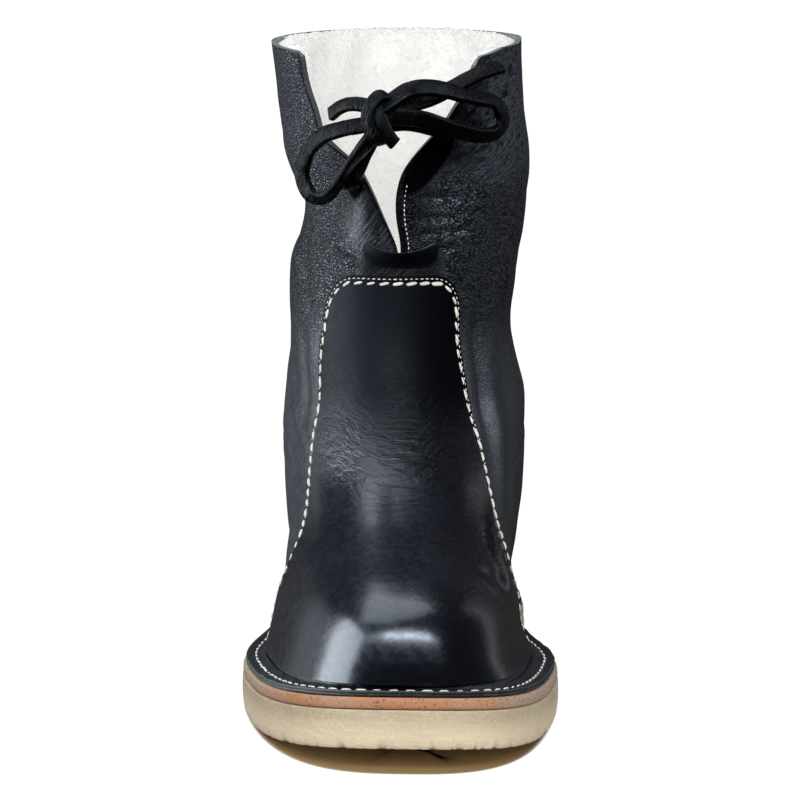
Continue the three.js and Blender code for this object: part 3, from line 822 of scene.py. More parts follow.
def grain_group() -> bpy.types.NodeTree:
    """Make the pebbled grain of full leather: Height and Valley from two cell sizes and their mix."""
    group = new_group(
        "leather_grain",
        {"Pebbles": 900.0, "Coarse": 400.0, "Mix": 0.0},
        {"Height": "NodeSocketFloat", "Valley": "NodeSocketFloat"},
    )
    wire = Wiring(group)
    given = group.nodes["in"].outputs
    place = wire.place()
    drift = wire.node("ShaderNodeTexNoise", Vector=place, Scale=300.0, Detail=4.0).outputs["Color"]
    moved = wire.vector("MULTIPLY_ADD", drift, (0.003, 0.003, 0.0024), place)
    moved = wire.vector("MULTIPLY", moved, (0.8, 0.8, 1.2))
    plates = []
    for scale, low, rise in (("Pebbles", 0.0, 0.36), ("Coarse", 0.03, 0.2)):
        cell = wire.node("ShaderNodeTexVoronoi", feature="DISTANCE_TO_EDGE", Vector=moved, Scale=given[scale])
        plates.append(wire.ramp(cell.outputs["Distance"], low, rise))
    wind = wire.noise(moved, wire.times(given["Coarse"], 0.2), 3.0, 0.5)
    crease = wire.ramp(wire.math("ABSOLUTE", wire.math("SUBTRACT", wind, 0.5)), 0.0, 0.03)
    plates[1] = wire.times(crease, plates[1])
    broken = wire.ramp(wire.noise(place, 420.0, 3.0, 0.6), 0.3, 0.62)
    fine = wire.times(plates[0], wire.math("MULTIPLY_ADD", broken, 0.6, 0.4))
    coarse = wire.math("MULTIPLY_ADD", crease, 0.6, wire.times(plates[1], 0.4))
    height = wire.mix(given["Mix"], wire.times(fine, 0.5), coarse)
    valley = wire.math("SUBTRACT", 1.0, wire.mix(given["Mix"], plates[0], plates[1]))
    wire.fill(group.nodes["out"], Height=height, Valley=valley)
    return group


def wrinkle_group() -> bpy.types.NodeTree:
    """Make fine parallel wrinkles: Height from a heading in degrees about Y, a spacing and a waver."""
    group = new_group(
        "fine_wrinkles",
        {"Heading": 0.0, "Lines": 420.0, "Length": 0.16, "Waver": 0.006, "Sag": 0.0},
        {"Height": "NodeSocketFloat"},
    )
    wire = Wiring(group)
    given = group.nodes["in"].outputs
    place = wire.place()
    drift = wire.node("ShaderNodeTexNoise", Vector=place, Scale=60.0, Detail=2.0).outputs["Color"]
    waver = wire.node("ShaderNodeCombineXYZ", X=given["Waver"], Y=given["Waver"], Z=given["Waver"]).outputs[0]
    moved = wire.vector("MULTIPLY_ADD", drift, waver, place)
    apart = wire.node("ShaderNodeSeparateXYZ", Vector=moved)
    bow = wire.times(wire.times(apart.outputs[0], apart.outputs[0]), given["Sag"])
    lowered = wire.node("ShaderNodeCombineXYZ", X=apart.outputs[0], Y=apart.outputs[1],
                        Z=wire.math("SUBTRACT", apart.outputs[2], bow))
    moved = lowered.outputs[0]
    angle = wire.math("RADIANS", given["Heading"])
    turned = wire.node("ShaderNodeVectorRotate", rotation_type="Y_AXIS", Vector=moved, Angle=angle)
    squeeze = wire.node("ShaderNodeCombineXYZ", X=given["Length"], Y=0.35, Z=1.0).outputs[0]
    lines = wire.vector("MULTIPLY", turned.outputs[0], squeeze)
    value = wire.noise(lines, given["Lines"], 3.0, 0.6)
    wire.fill(group.nodes["out"], Height=wire.ramp(value, 0.34, 0.6))
    return group


def blotch_group() -> bpy.types.NodeTree:
    """Make slow and fast unevenness of tone: Slow and Fast masks from two sizes."""
    group = new_group(
        "blotches",
        {"Slow size": 28.0, "Fast size": 260.0},
        {"Slow": "NodeSocketFloat", "Fast": "NodeSocketFloat"},
    )
    wire = Wiring(group)
    given = group.nodes["in"].outputs
    place = wire.place()
    slow = wire.ramp(wire.noise(place, given["Slow size"]), 0.3, 0.7)
    fast = wire.ramp(wire.noise(place, given["Fast size"], 5.0, 0.65), 0.35, 0.65)
    wire.fill(group.nodes["out"], Slow=slow, Fast=fast)
    return group


@dataclass(frozen=True)
class Leather:
    """Dyed leather, from its colour to the grain and wrinkles that zones on the piece bring out, with painted
    shade and a painted sheen where the piece is marked.
    """

    name: str
    dark: Triple
    light: Triple
    rough_low: float
    rough_high: float
    pebbles: float
    grain_depth: float
    coarse: float = 720.0
    mottle: float = 0.02 * MM
    heading: float = 0.0
    lines: float = 420.0
    line_depth: float = 0.0
    sag: float = 0.0
    polish: float = 0.0
    specular: float = 0.5
    polished_specular: float = 0.65
    tint: Triple = (0.78, 0.87, 1.0)
    # Whether the painted shade and the grain's valleys also dim the highlights.
    hollows: bool = False
    slow_size: float = 26.0
    fast_size: float = 340.0
    tone_share: float = 0.7
    # Random wear with a painted sheen: how much, and how light it turns the colour.
    wear_sheen_share: float = 0.6
    wear_sheen_light: float = 2.6
    # Painted shade in the grain's valleys and the wrinkles' troughs: how much and how dark, then the
    # roughness the valleys add.
    furrow_shade_share: float = 0.85
    furrow_shade_dark: float = 0.25
    furrow_rough: float = 0.2
    # How dark the painted shade turns the leather.
    painted_shade_dark: float = 0.2

    def make(self, kit: Groups) -> bpy.types.Material:
        """Make the material.

        Args:
            kit: The shared node groups.

        Returns:
            The material.
        """
        made, wire, surface = start_material(self.name)
        painted_shade, polished, zone = (wire.mask(name) for name in ("painted_shade", "polished", "pebbled"))
        tone = wire.group(kit["blotches"], Slow_size=self.slow_size, Fast_size=self.fast_size).outputs
        grain = wire.group(kit["grain"], Pebbles=self.pebbles, Coarse=self.coarse, Mix=wire.mask("crackled"))
        wrinkles = wire.group(kit["wrinkles"], Heading=self.heading, Lines=self.lines, Sag=self.sag)
        lines = wrinkles.outputs["Height"]
        wrinkled = wire.mask("wrinkled")
        trough = wire.times(wire.math("POWER", wire.math("SUBTRACT", 1.0, lines), 2.0), wrinkled)
        furrow = wire.math("MAXIMUM", wire.times(grain.outputs["Valley"], zone), trough)

        color = wire.blend(wire.times(tone["Slow"], self.tone_share), shade(self.dark), shade(self.light))
        # Random wear with a painted sheen lightens the colour.
        wear_and_sheen = wire.times(wire.mask("wear_and_sheen"), self.wear_sheen_share)
        color = wire.blend(wear_and_sheen, color, shade(self.light, self.wear_sheen_light))
        # Painted shade in the grain's valleys and the wrinkles' troughs.
        color = wire.blend(wire.times(furrow, self.furrow_shade_share), color, shade(self.dark, self.furrow_shade_dark))
        # Painted shade: the colour is darkened where the piece is marked as shaded.
        color = wire.blend(painted_shade, color, shade(self.dark, self.painted_shade_dark))

        rough = wire.ramp(tone["Fast"], 0.0, 1.0, self.rough_low, self.rough_high)
        rough = wire.math("ADD", rough, wire.times(furrow, self.furrow_rough))
        rough = wire.math("SUBTRACT", rough, wire.times(polished, self.polish))

        lined = wire.times(wire.times(lines, wrinkled), self.line_depth)
        pebbled = wire.times(wire.times(grain.outputs["Height"], zone), self.grain_depth)
        height = wire.math("ADD", wire.math("ADD", lined, pebbled), wire.times(tone["Fast"], self.mottle))
        specular = self.specular
        # Painted shade also takes the highlights out of the shaded places and the valleys.
        if self.hollows:
            open_skin = wire.math("SUBTRACT", 1.0, wire.times(furrow, 0.9))
            specular = wire.times(wire.times(wire.math("SUBTRACT", 1.0, painted_shade), open_skin), specular)
        elif self.polish:
            specular = wire.ramp(polished, 0.0, 1.0, specular, self.polished_specular)
        wire.fill(
            surface, Base_Color=color, Roughness=rough, Normal=wire.relief(height),
            Specular_IOR_Level=specular, Specular_Tint=shade(self.tint),
        )
        return made


@dataclass(frozen=True)
class Plain:
    """A mottled matt finish, for cut edges, flesh sides, thread, crepe and wool; it turns paler where marked,
    as painted bounce light on the crepe, and can glow, as painted light on the wool.
    """

    name: str
    dark: Triple
    light: Triple
    rough: float
    slow: float
    fast: float
    bump: float
    subsurface: float = 0.0
    sheen: float = 0.0
    layer: float = 0.0
    # Painted light: emission in the light colour, for a part that is no lamp.
    glow: float = 0.0
    # How much lighter the colour turns where the piece is marked; on the crepe this is painted bounce light,
    # lighter towards the bottom.
    pale: float = 1.0

    def make(self, kit: Groups) -> bpy.types.Material:
        """Make the material.

        Args:
            kit: The shared node groups.

        Returns:
            The material.
        """
        made, wire, surface = start_material(self.name)
        tone = wire.group(kit["blotches"], Slow_size=self.slow, Fast_size=self.fast).outputs
        both = wire.math("ADD", wire.times(tone["Slow"], 0.6), wire.times(tone["Fast"], 0.4))
        color = wire.blend(both, shade(self.dark), shade(self.light))
        # Paler where the piece is marked: on the crepe, painted bounce light towards the bottom.
        if self.pale != 1.0:
            color = wire.blend(wire.mask("paling_and_bounce_light"), color, shade(self.light, self.pale))
        height = wire.times(tone["Fast"], self.bump)
        if self.layer:
            flat = wire.vector("MULTIPLY", wire.place(), (0.12, 0.12, 1.0))
            streak = wire.times(wire.noise(flat, 520.0, 4.0, 0.6), self.layer)
            height = wire.math("ADD", height, streak)
        wire.fill(
            surface, Base_Color=color, Normal=wire.relief(height),
            Roughness=wire.ramp(tone["Fast"], 0.0, 1.0, self.rough - 0.06, self.rough),
            Subsurface_Weight=self.subsurface, Subsurface_Radius=(1.0, 0.8, 0.6),
            Subsurface_Scale=2.5 * MM, Sheen_Weight=self.sheen,
            Emission_Color=shade(self.light), Emission_Strength=self.glow,
        )
        return made


def shade(color: Triple, factor: float = 1.0) -> tuple[float, ...]:
    """Give a colour times a factor, with full alpha."""
    return (*[min(1.0, factor * c) for c in color], 1)


def start_material(name: str) -> tuple[bpy.types.Material, Wiring, bpy.types.Node]:
    """Start a material.

    Args:
        name: Its name.

    Returns:
        The material, the wiring of its tree and its Principled BSDF.
    """
    made = bpy.data.materials.new(name)
    made.use_nodes = True
    return made, Wiring(made.node_tree), made.node_tree.nodes["Principled BSDF"]


FINISHES = (
    Leather("grain_leather", (0.002, 0.0025, 0.0045), (0.008, 0.009, 0.0135), 0.33, 0.45, 900.0, 0.45 * MM,
            line_depth=0.65 * MM, heading=50.0, lines=760.0, mottle=0.05 * MM, specular=0.74, hollows=True),
    Leather("smooth_leather", (0.0012, 0.0016, 0.0034), (0.0034, 0.004, 0.0075), 0.4, 0.46, 1500.0,
            0.015 * MM, line_depth=0.32 * MM, lines=600.0, sag=14.0, polish=0.17, mottle=0.003 * MM,
            specular=0.1),
    Leather("lace_leather", (0.0005, 0.0007, 0.001), (0.0018, 0.0022, 0.003), 0.18, 0.32, 1300.0, 0.08 * MM,
            line_depth=0.35 * MM, heading=80.0, lines=600.0, specular=0.1),
    Plain("cut_edge", (0.006, 0.0095, 0.01), (0.028, 0.038, 0.038), 0.6, 120.0, 900.0, 0.12 * MM,
          layer=0.25 * MM),
    Plain("flesh_side", (0.03, 0.033, 0.036), (0.06, 0.062, 0.064), 0.85, 60.0, 1500.0, 0.08 * MM, sheen=0.3),
    Plain("thread", (0.72, 0.69, 0.62), (0.93, 0.92, 0.88), 0.72, 300.0, 2600.0, 0.12 * MM),
    Plain("crepe", (0.38, 0.3, 0.2), (0.56, 0.47, 0.34), 0.72, 26.0, 620.0, 0.12 * MM, subsurface=0.12,
          layer=0.18 * MM, pale=1.4),
    # The wool glows with painted light, over a base colour darker than real wool's.
    Plain("wool", (0.6, 0.594, 0.58), (0.66, 0.656, 0.645), 0.95, 40.0, 900.0, 0.2 * MM, subsurface=0.3,
          sheen=0.1, glow=0.5),
    # Painted highlight: a lighter copy of the cut edge, for the upturned rims of the collar and the tab.
    Plain("lit_rim_edge", (0.035, 0.046, 0.046), (0.12, 0.145, 0.14), 0.7, 120.0, 900.0, 0.12 * MM,
          layer=0.25 * MM),
    Plain("sock_leather", (0.42, 0.3, 0.19), (0.58, 0.44, 0.3), 0.7, 30.0, 700.0, 0.06 * MM),
)


@dataclass(frozen=True)
class TanBoard:
    """Raw tan leather edge, orange in front and paler along the sides, with small pits."""

    name: str = "tan_board"
    front: Triple = (0.46, 0.215, 0.11)
    side: Triple = (0.42, 0.33, 0.26)
    pit: Triple = (0.16, 0.07, 0.035)
    rough: float = 0.78
    unevenness: float = 0.1 * MM
    pit_depth: float = 0.3 * MM

    def make(self, kit: Groups) -> bpy.types.Material:
        """Make the material.

        Args:
            kit: The shared node groups.

        Returns:
            The material.
        """
        made, wire, surface = start_material(self.name)
        tone = wire.group(kit["blotches"], Slow_size=60.0, Fast_size=800.0).outputs
        color = wire.blend(wire.mask("paling_and_bounce_light"), shade(self.front), shade(self.side))
        color = wire.blend(wire.times(tone["Slow"], 0.35), color, shade(self.side))
        speck = wire.ramp(wire.noise(wire.place(), 1100.0, 2.0), 0.6, 0.72)
        color = wire.blend(wire.times(speck, 0.75), color, shade(self.pit))
        height = wire.math(
            "SUBTRACT", wire.times(tone["Fast"], self.unevenness), wire.times(speck, self.pit_depth)
        )
        wire.fill(surface, Base_Color=color, Normal=wire.relief(height), Roughness=self.rough)
        return made


def make_finishes() -> Finishes:
    """Make every finish once and return the materials by name."""
    kit = {"grain": grain_group(), "wrinkles": wrinkle_group(), "blotches": blotch_group()}
    return {finish.name: finish.make(kit) for finish in (*FINISHES, TanBoard())}


def dress(piece: Piece, slot: str, *nodes: str) -> Piece:
    """Let a piece ride on the boot and let it stand for nodes.

    Args:
        piece: The piece.
        slot: Not used.
        *nodes: Nodes that it replaces.

    Returns:
        The piece.
    """
    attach(piece, BODY)
    if nodes:
        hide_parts(*nodes)
    LOG.info("%s: %d faces", piece.name, len(piece.data.polygons))
    return piece


@dataclass
class Part:
    """What every part of the boot is laid out on and made of."""

    form: BootForm
    finishes: Finishes


@dataclass
class Upper(Part):
    """Quarters and shaft as one hollow leather wall, turned out over the midsole at its foot.

    The masks' zones are named places in metres: X to the big-toe side, Z up, both in the boot's frame.
    """

    slit: Slit
    wall: float = 2 * MM
    turnout_inset: float = 1.2 * MM
    edge_round: float = 0.35 * MM
    layer_groove: float = 0.3 * MM
    columns: int = 319
    body_rows: int = 112
    open_rows: int = 90
    # Painted shade of the dark hollow round each slot: X and Z of its middle, half length, half width and
    # lean.
    slots: tuple[tuple[float, ...], ...] = (
        (0.0068, 0.1885, 0.0135, 0.0052, math.radians(51)),
        (-0.0195, 0.1815, 0.0065, 0.003, math.radians(90)),
    )

    def flange(self) -> list[tuple[float, float]]:
        """List the turned-out edge's profile: distance out from the sole line, and height."""
        reach = self.form.welt_margin - self.turnout_inset
        low = self.form.upper_base
        top = low + self.wall
        r = self.edge_round
        half = low + 0.5 * self.wall
        return [
            (-self.wall, low), (reach - 2 * r, low), (reach - 0.3 * r, low + 0.3 * r), (reach, low + r),
            (reach, half - 0.7 * self.layer_groove), (reach - self.layer_groove, half),
            (reach, half + 0.7 * self.layer_groove), (reach, top - r), (reach - 0.3 * r, top - 0.3 * r),
            (reach - r, top), (0.72 * reach, top), (0.55 * reach, top - 0.2 * MM), (0.36 * reach, top),
            (0.2 * reach, top + 0.25 * MM), (0.08 * reach, top + 1.1 * MM),
        ]

    def rows(self) -> Array:
        """List the rings of the wall's rows, from just over the sole line to the collar."""
        low = np.linspace(0.3, self.slit.bottom_ring, self.body_rows)
        high = np.linspace(self.slit.bottom_ring, self.form.collar, self.open_rows + 1)[1:]
        return np.concatenate([low, high])

    def build(self) -> Piece:
        """Make the upper.

        Returns:
            The piece.
        """
        form = self.form
        rows = self.rows()
        flange = self.flange()
        angles = self.slit.angles(rows, self.columns)
        foot = angles[0]
        seen = [form.outline(foot, np.full(foot.shape, out), z) for out, z in flange]
        ripple = waves(seen[3], 9 * MM, 3.0)[:, None] * 0.22 * MM
        seen = [row + ripple * (0.0 if i in (0, 1) else 1.0) for i, row in enumerate(seen)]
        ring = self.slit.rounded(rows, angles)
        body = form.point(ring, angles, 0.0)
        loose = waves(body, 24 * MM, 9.0, 2)
        fade = smoothstep(0.4, 2.0, rows)[:, None]
        body = body + form.normal(ring, angles) * (0.5 * MM * loose * fade)[..., None]
        inner = form.point(ring, angles, -self.wall)
        base = np.repeat(inner[:1], len(flange), 0)
        floor = form.outline(foot, 0.0 * foot, form.upper_base)[:, 2]
        base[:, :, 2] = np.minimum(base[:, :, 2], floor)
        shell = Shell(
            seen=np.concatenate([np.stack(seen), body]),
            hidden=np.concatenate([base, inner]),
            open_row=len(flange) + self.body_rows - 1,
            rim_finish=3,
        )
        draft = Draft()
        edge_rows = np.zeros(len(shell.seen) - 1, int)
        edge_rows[: len(flange) - 6] = 1
        shell.lay(draft, edge_rows)
        skins = [self.finishes[name] for name in ("grain_leather", "cut_edge", "flesh_side", "lit_rim_edge")]
        piece = draft.build("upper_leather", skins)
        self.mask(piece)
        return dress(piece, "grain_leather", "upper")

    def mask(self, piece: Piece) -> None:
        """Store where the leather is pebbled and wrinkled, its wear with a painted sheen, and its painted
        shade.
        """
        at = places(piece)
        x, y, z = at.T
        drift = 6 * MM * waves(at, 26 * MM, 12.0, 2)
        inner = smoothstep(0.0, 0.014, x)
        inner_top = inner * smoothstep(0.182, 0.2, z + 0.3 * x + drift)
        inner_middle = inner * smoothstep(0.1, 0.15, z + drift) * smoothstep(0.11, 0.06, y)
        add_mask(piece, "crackled", np.clip(inner_middle * (1 - 0.8 * inner_top), 0, 1))
        stretched = smoothstep(-0.026, -0.016, x) * smoothstep(0.0, -0.006, x) * smoothstep(0.152, 0.16, z)
        under_tab = smoothstep(0.017, 0.013, np.abs(x + 0.003)) * smoothstep(0.158, 0.154, z)
        smooth = np.maximum(stretched, under_tab) * smoothstep(0.03, 0.015, y)
        upper_part = 0.3 + 0.7 * smoothstep(0.1, 0.14, z + drift)
        add_mask(piece, "wrinkled", np.maximum(inner_top * smoothstep(0.11, 0.05, y), 0.2 * smooth))
        add_mask(piece, "pebbled", upper_part * (1 - 0.6 * inner_top) * (1 - 0.8 * smooth))
        # Random wear, with a painted sheen that lightens the outer flap as if lit from its side; the inner
        # middle is lighter too.
        wear_and_sheen = 0.5 * np.clip(waves(at, 30 * MM, 17.0, 2), 0, 1)
        outer_flap_sheen = smoothstep(-0.02, -0.035, x) * smoothstep(0.14, 0.19, z + drift)
        add_mask(piece, "wear_and_sheen", np.maximum(wear_and_sheen, np.maximum(0.7 * inner_middle, outer_flap_sheen)))
        # Painted shade: the leather is darkened in the pocket under the tab, in the hollows round the slots,
        # along the slit's edges and a little over the stretched zone.
        deep = 0.8 * under_tab * smoothstep(0.03, 0.015, y)
        for spot_x, spot_z, long, wide, lean in self.slots:
            right, high = x - spot_x, z - spot_z
            up = right * math.cos(lean) + high * math.sin(lean)
            out = right * math.sin(lean) - high * math.cos(lean)
            reach = (up / long) ** 2 + (out / wide) ** 2 + 0.04 * drift / MM
            deep = np.maximum(deep, smoothstep(1.25, 0.8, reach) * smoothstep(0.03, 0.02, y))
        inner_band = 1 - smoothstep(1.8 * MM, 2.8 * MM, self.slit.distance(at, Side.INNER))
        outer_band = 1 - smoothstep(0.9 * MM, 1.6 * MM, self.slit.distance(at, Side.OUTER))
        band = np.maximum(inner_band * smoothstep(0.215, 0.205, z), outer_band)
        deep = np.maximum(0.97 * deep, 0.4 * smooth)
        add_mask(piece, "painted_shade", np.maximum(deep, 0.8 * band))


@dataclass
class FrontPanel(Part):
    """Smooth plug from the toe to the middle of the shaft, with a lower stitched margin round it."""

    thickness: float = 1.6 * MM
    margin: float = 1.0 * MM
    seat: float = 0.15 * MM
    foot_ring: float = 0.42
    top_ring: float = 9.05
    corner: float = 0.45
    corner_power: int = 8
    corner_reach: float = 2.0
    cut_round: float = 0.5 * MM
    step_foot: float = 2.3 * MM
    step_head: float = 3.3 * MM
    groove_line: float = 2.35 * MM
    groove_width: float = 0.4 * MM
    groove_depth: float = 0.3 * MM
    seam_width: float = 0.35 * MM
    seam_depth: float = 0.2 * MM
    stitch_line: float = 2.75 * MM
    fine_line: float = 1.15 * MM
    rows: int = 204
    corner_rows: int = 37
    wrinkle_count: int = 26
    corner_band: float = 0.7
    edge: dict[str, Array] = table(
        "ring outer inner",
        (0.35, 77, 76), (1, 76, 75), (2, 72, 71), (3, 66, 66), (4, 60, 61), (5, 55, 56),
        (6, 51, 50), (7, 45.5, 43), (8, 39.5, 38), (9, 32, 34.5), (9.3, 31, 33.5),
    )

    def place(self, plain: Array, across: Array) -> tuple[Array, Array]:
        """Turn a panel place into a ring and angle.

        Args:
            plain: Ring before the corners' rounding.
            across: Place across, from -1 at the outer edge to 1 at the inner edge.

        Returns:
            Ring and angle.
        """
        plain, across = np.broadcast_arrays(plain, across)
        drop = self.corner * np.abs(across) ** self.corner_power
        fade = smoothstep(self.top_ring - self.corner_reach, self.top_ring, plain)
        ring = plain - drop * fade
        # The edge is read from the table by straight lines between its rows.
        outer = np.interp(ring, self.edge["ring"], self.edge["outer"])
        inner = np.interp(ring, self.edge["ring"], self.edge["inner"])
        turn = np.radians(np.where(across < 0, outer, inner)) * across
        return ring, FRONT - turn

    def boundary(self, count: int = 1600) -> tuple[Array, Array]:
        """Walk the edge from the outer foot over the top to the inner foot.

        Args:
            count: How many places.

        Returns:
            Plain ring and place across.
        """
        side = np.linspace(self.foot_ring, self.top_ring, count // 2)
        top = np.linspace(-1, 1, count // 4)[1:-1]
        plain = np.concatenate([side, np.full(top.shape, self.top_ring), side[::-1]])
        across = np.concatenate([-np.ones(side.shape), top, np.ones(side.shape)])
        return plain, across

    def line(self, inset: float, pitch: float, out: float) -> tuple[Array, Array, Array]:
        """Walk a line at a distance inside the edge, at even steps.

        Args:
            inset: Distance from the edge.
            pitch: Length of a step.
            out: Height over the upper's face.

        Returns:
            Places, directions along and directions out.
        """
        form = self.form
        ring, angle = self.place(*self.boundary())
        here = form.point(ring, angle, 0.0)
        along = unit(np.gradient(here, axis=0))
        out_of = form.normal(ring, angle)
        inward = unit(np.cross(along, out_of))
        step = form.step
        by_ring = (form.last(ring + step, angle) - form.last(ring - step, angle)) / (2 * step)
        by_turn = (form.last(ring, angle + step) - form.last(ring, angle - step)) / (2 * step)
        move = inward * inset
        ring = ring + np.sum(move * by_ring, -1) / np.sum(by_ring**2, -1)
        angle = angle + np.sum(move * by_turn, -1) / np.sum(by_turn**2, -1)
        line = form.point(ring, angle, out)
        length = lengths(line)
        at = np.arange(0.5 * pitch, length[-1], pitch)
        spots = read_line(line, length, at)
        normals = unit(read_line(form.normal(ring, angle), length, at))
        return spots, unit(np.gradient(spots, axis=0)), normals

    def height(self, distance: Array) -> Array:
        """Give the panel's thickness at a distance from its edge."""
        edge = self.margin * (0.45 + 0.55 * smoothstep(0, self.cut_round, distance))
        step = (self.thickness - self.margin) * smoothstep(self.step_foot, self.step_head, distance)
        groove = self.groove_depth * bell(distance, self.groove_line, self.groove_width)
        seam = self.seam_depth * bell(distance, self.fine_line, self.seam_width)
        return self.seat + edge + step - groove - seam

    def build(self) -> Piece:
        """Make the panel.

        Returns:
            The piece.
        """
        near = np.concatenate([np.arange(0, 4.2, 0.35), [4.8, 5.6, 6.8, 8.4]]) * MM
        middle = np.linspace(0, 1, 97)[1:-1]
        band = self.corner_band
        close = 1 - (1 - np.linspace(0, 1, self.corner_rows + 1)[1:]) ** 1.4
        rows = np.concatenate([
            np.linspace(self.foot_ring, self.top_ring - band, self.rows),
            self.top_ring - band + band * close,
        ])
        grid = []
        for ring in rows:
            scan = np.linspace(-1, 1, 241)
            points = self.form.last(*self.place(np.full(scan.shape, ring), scan))
            length = lengths(points)
            inside = near[-1] + (length[-1] - 2 * near[-1]) * middle
            stops = np.concatenate([near, inside, length[-1] - near[::-1]])
            grid.append(np.interp(stops, length, scan))
        across = np.array(grid)
        ring, angle = self.place(np.broadcast_to(rows[:, None], across.shape), across)
        base = self.form.point(ring, angle, 0.0)
        edge = self.form.point(*self.place(*self.boundary()), 0.0)
        distance = distance_to(edge, base)
        normal = self.form.normal(ring, angle)
        lift = self.height(distance) + self.wrinkles(ring, angle) * smoothstep(3 * MM, 7 * MM, distance)
        seen = base + normal * lift[..., None]
        draft = Draft()
        Shell(seen=seen, hidden=base - normal * 0.2 * MM, open_row=0, coarse=6).lay_open(draft)
        piece = draft.build("front_panel_leather", [
            self.finishes["smooth_leather"], self.finishes["cut_edge"], self.finishes["flesh_side"],
        ])
        at = places(piece)
        x, _, z = at.T
        bend = bell(z, 0.094, 0.013) * smoothstep(0.034, 0.018, np.abs(x + 0.004))
        vamp = 0.25 * bell(z, 0.062, 0.01) * smoothstep(0.0, 0.02, x)
        add_mask(piece, "wrinkled", np.maximum(bend, vamp))
        add_mask(piece, "pebbled", 0.7 * smoothstep(0.07, 0.1, z))
        add_mask(piece, "polished", smoothstep(0.115, 0.075, z))
        add_mask(piece, "wear_and_sheen", 0.7 * np.clip(waves(at, 26 * MM, 5.0, 2), 0, 1))
        return dress(piece, "smooth_leather", "front_panel")

    def wrinkles(self, ring: Array, angle: Array) -> Array:
        """Give the height of the fine wrinkles over the ankle bend, which sag like a hammock."""
        draws = random.Random(41)
        turn = np.degrees(FRONT - angle)
        height = np.zeros(ring.shape)
        for i in range(self.wrinkle_count):
            start_ring = 7.5 - 0.062 * i + draws.uniform(-0.03, 0.03)
            start = draws.uniform(-42, -16) if i % 3 else draws.uniform(-6, 14)
            end = start + draws.uniform(22, 44)
            tilt = -0.011 * (start + 20) if i % 3 else 0.1
            depth = -draws.uniform(0.04, 0.16) * math.exp(-(((i - 14) / 10) ** 2))
            bow, width = draws.uniform(-0.9, -0.2), draws.uniform(0.5, 0.9)
            row = (start_ring, start, start_ring - 0.22 + tilt, end, bow, width, depth)
            height = height + self.form.crease(ring, turn, row)
        return height


@dataclass
class CatchTab(Part):
    """Crescent of leather at the foot of the slit, whose hollow upper edge stands off the shaft."""

    width: float = 25.6 * MM
    tall: float = 10.5 * MM
    thickness: float = 1.7 * MM
    standoff: float = 3.0 * MM
    seat: float = 0.15 * MM
    foot_ring: float = 9.2
    centre_turn: float = math.radians(3.5)
    waist: float = 0.5
    foot_rise: float = 0.03
    end_height: float = 0.35
    end_power: int = 10
    panel_top: int = 9

    def build(self) -> Piece:
        """Make the tab.

        Returns:
            The piece.
        """
        form = self.form
        rises = form.rings["front_rise"]
        per_ring = form.shaft_height * (rises[self.panel_top + 1] - rises[self.panel_top])
        reach = form.ball_width * form.rings["mid_inner"][self.panel_top]
        half_turn = math.asin(self.width / 2 / reach)
        across = np.sin(np.linspace(-math.pi / 2, math.pi / 2, 73))[None, :]
        up = np.linspace(0, 1, 25)[:, None]
        share = self.end_height + (1 - self.end_height) * np.sqrt(np.maximum(1 - across**self.end_power, 0))
        foot = self.tall * self.foot_rise * across**2
        head = self.tall * (self.waist + (1 - self.waist) * across**2)
        height = (foot + head) / 2 + (head - foot) * (up - 0.5) * share
        stand = self.standoff * up**1.3 * (1 - across**2)
        ring = self.foot_ring + height / per_ring
        angle = np.broadcast_to(FRONT - self.centre_turn - half_turn * across, ring.shape)
        edge = np.minimum(smoothstep(0, 0.12, up), smoothstep(0, 0.08, 1 - up))
        edge = np.minimum(edge, smoothstep(0, 0.05, 1 - np.abs(across)))
        back = form.point(ring, angle, self.seat + stand, creased=False)
        full = self.thickness * (0.04 + 0.96 * smoothstep(0, 0.7, up)) * (0.75 + 0.25 * edge)
        face = form.point(ring, angle, self.seat + stand + full, creased=False)
        draft = Draft()
        Shell(seen=face, hidden=back, open_row=0, edge_finish=0).lay_open(draft)
        piece = draft.build("catch_tab_leather", [
            self.finishes["smooth_leather"], self.finishes["lit_rim_edge"], self.finishes["flesh_side"],
        ])
        at = places(piece)
        add_mask(piece, "pebbled", np.ones(len(at)))
        return dress(piece, "smooth_leather", "catch_tab")


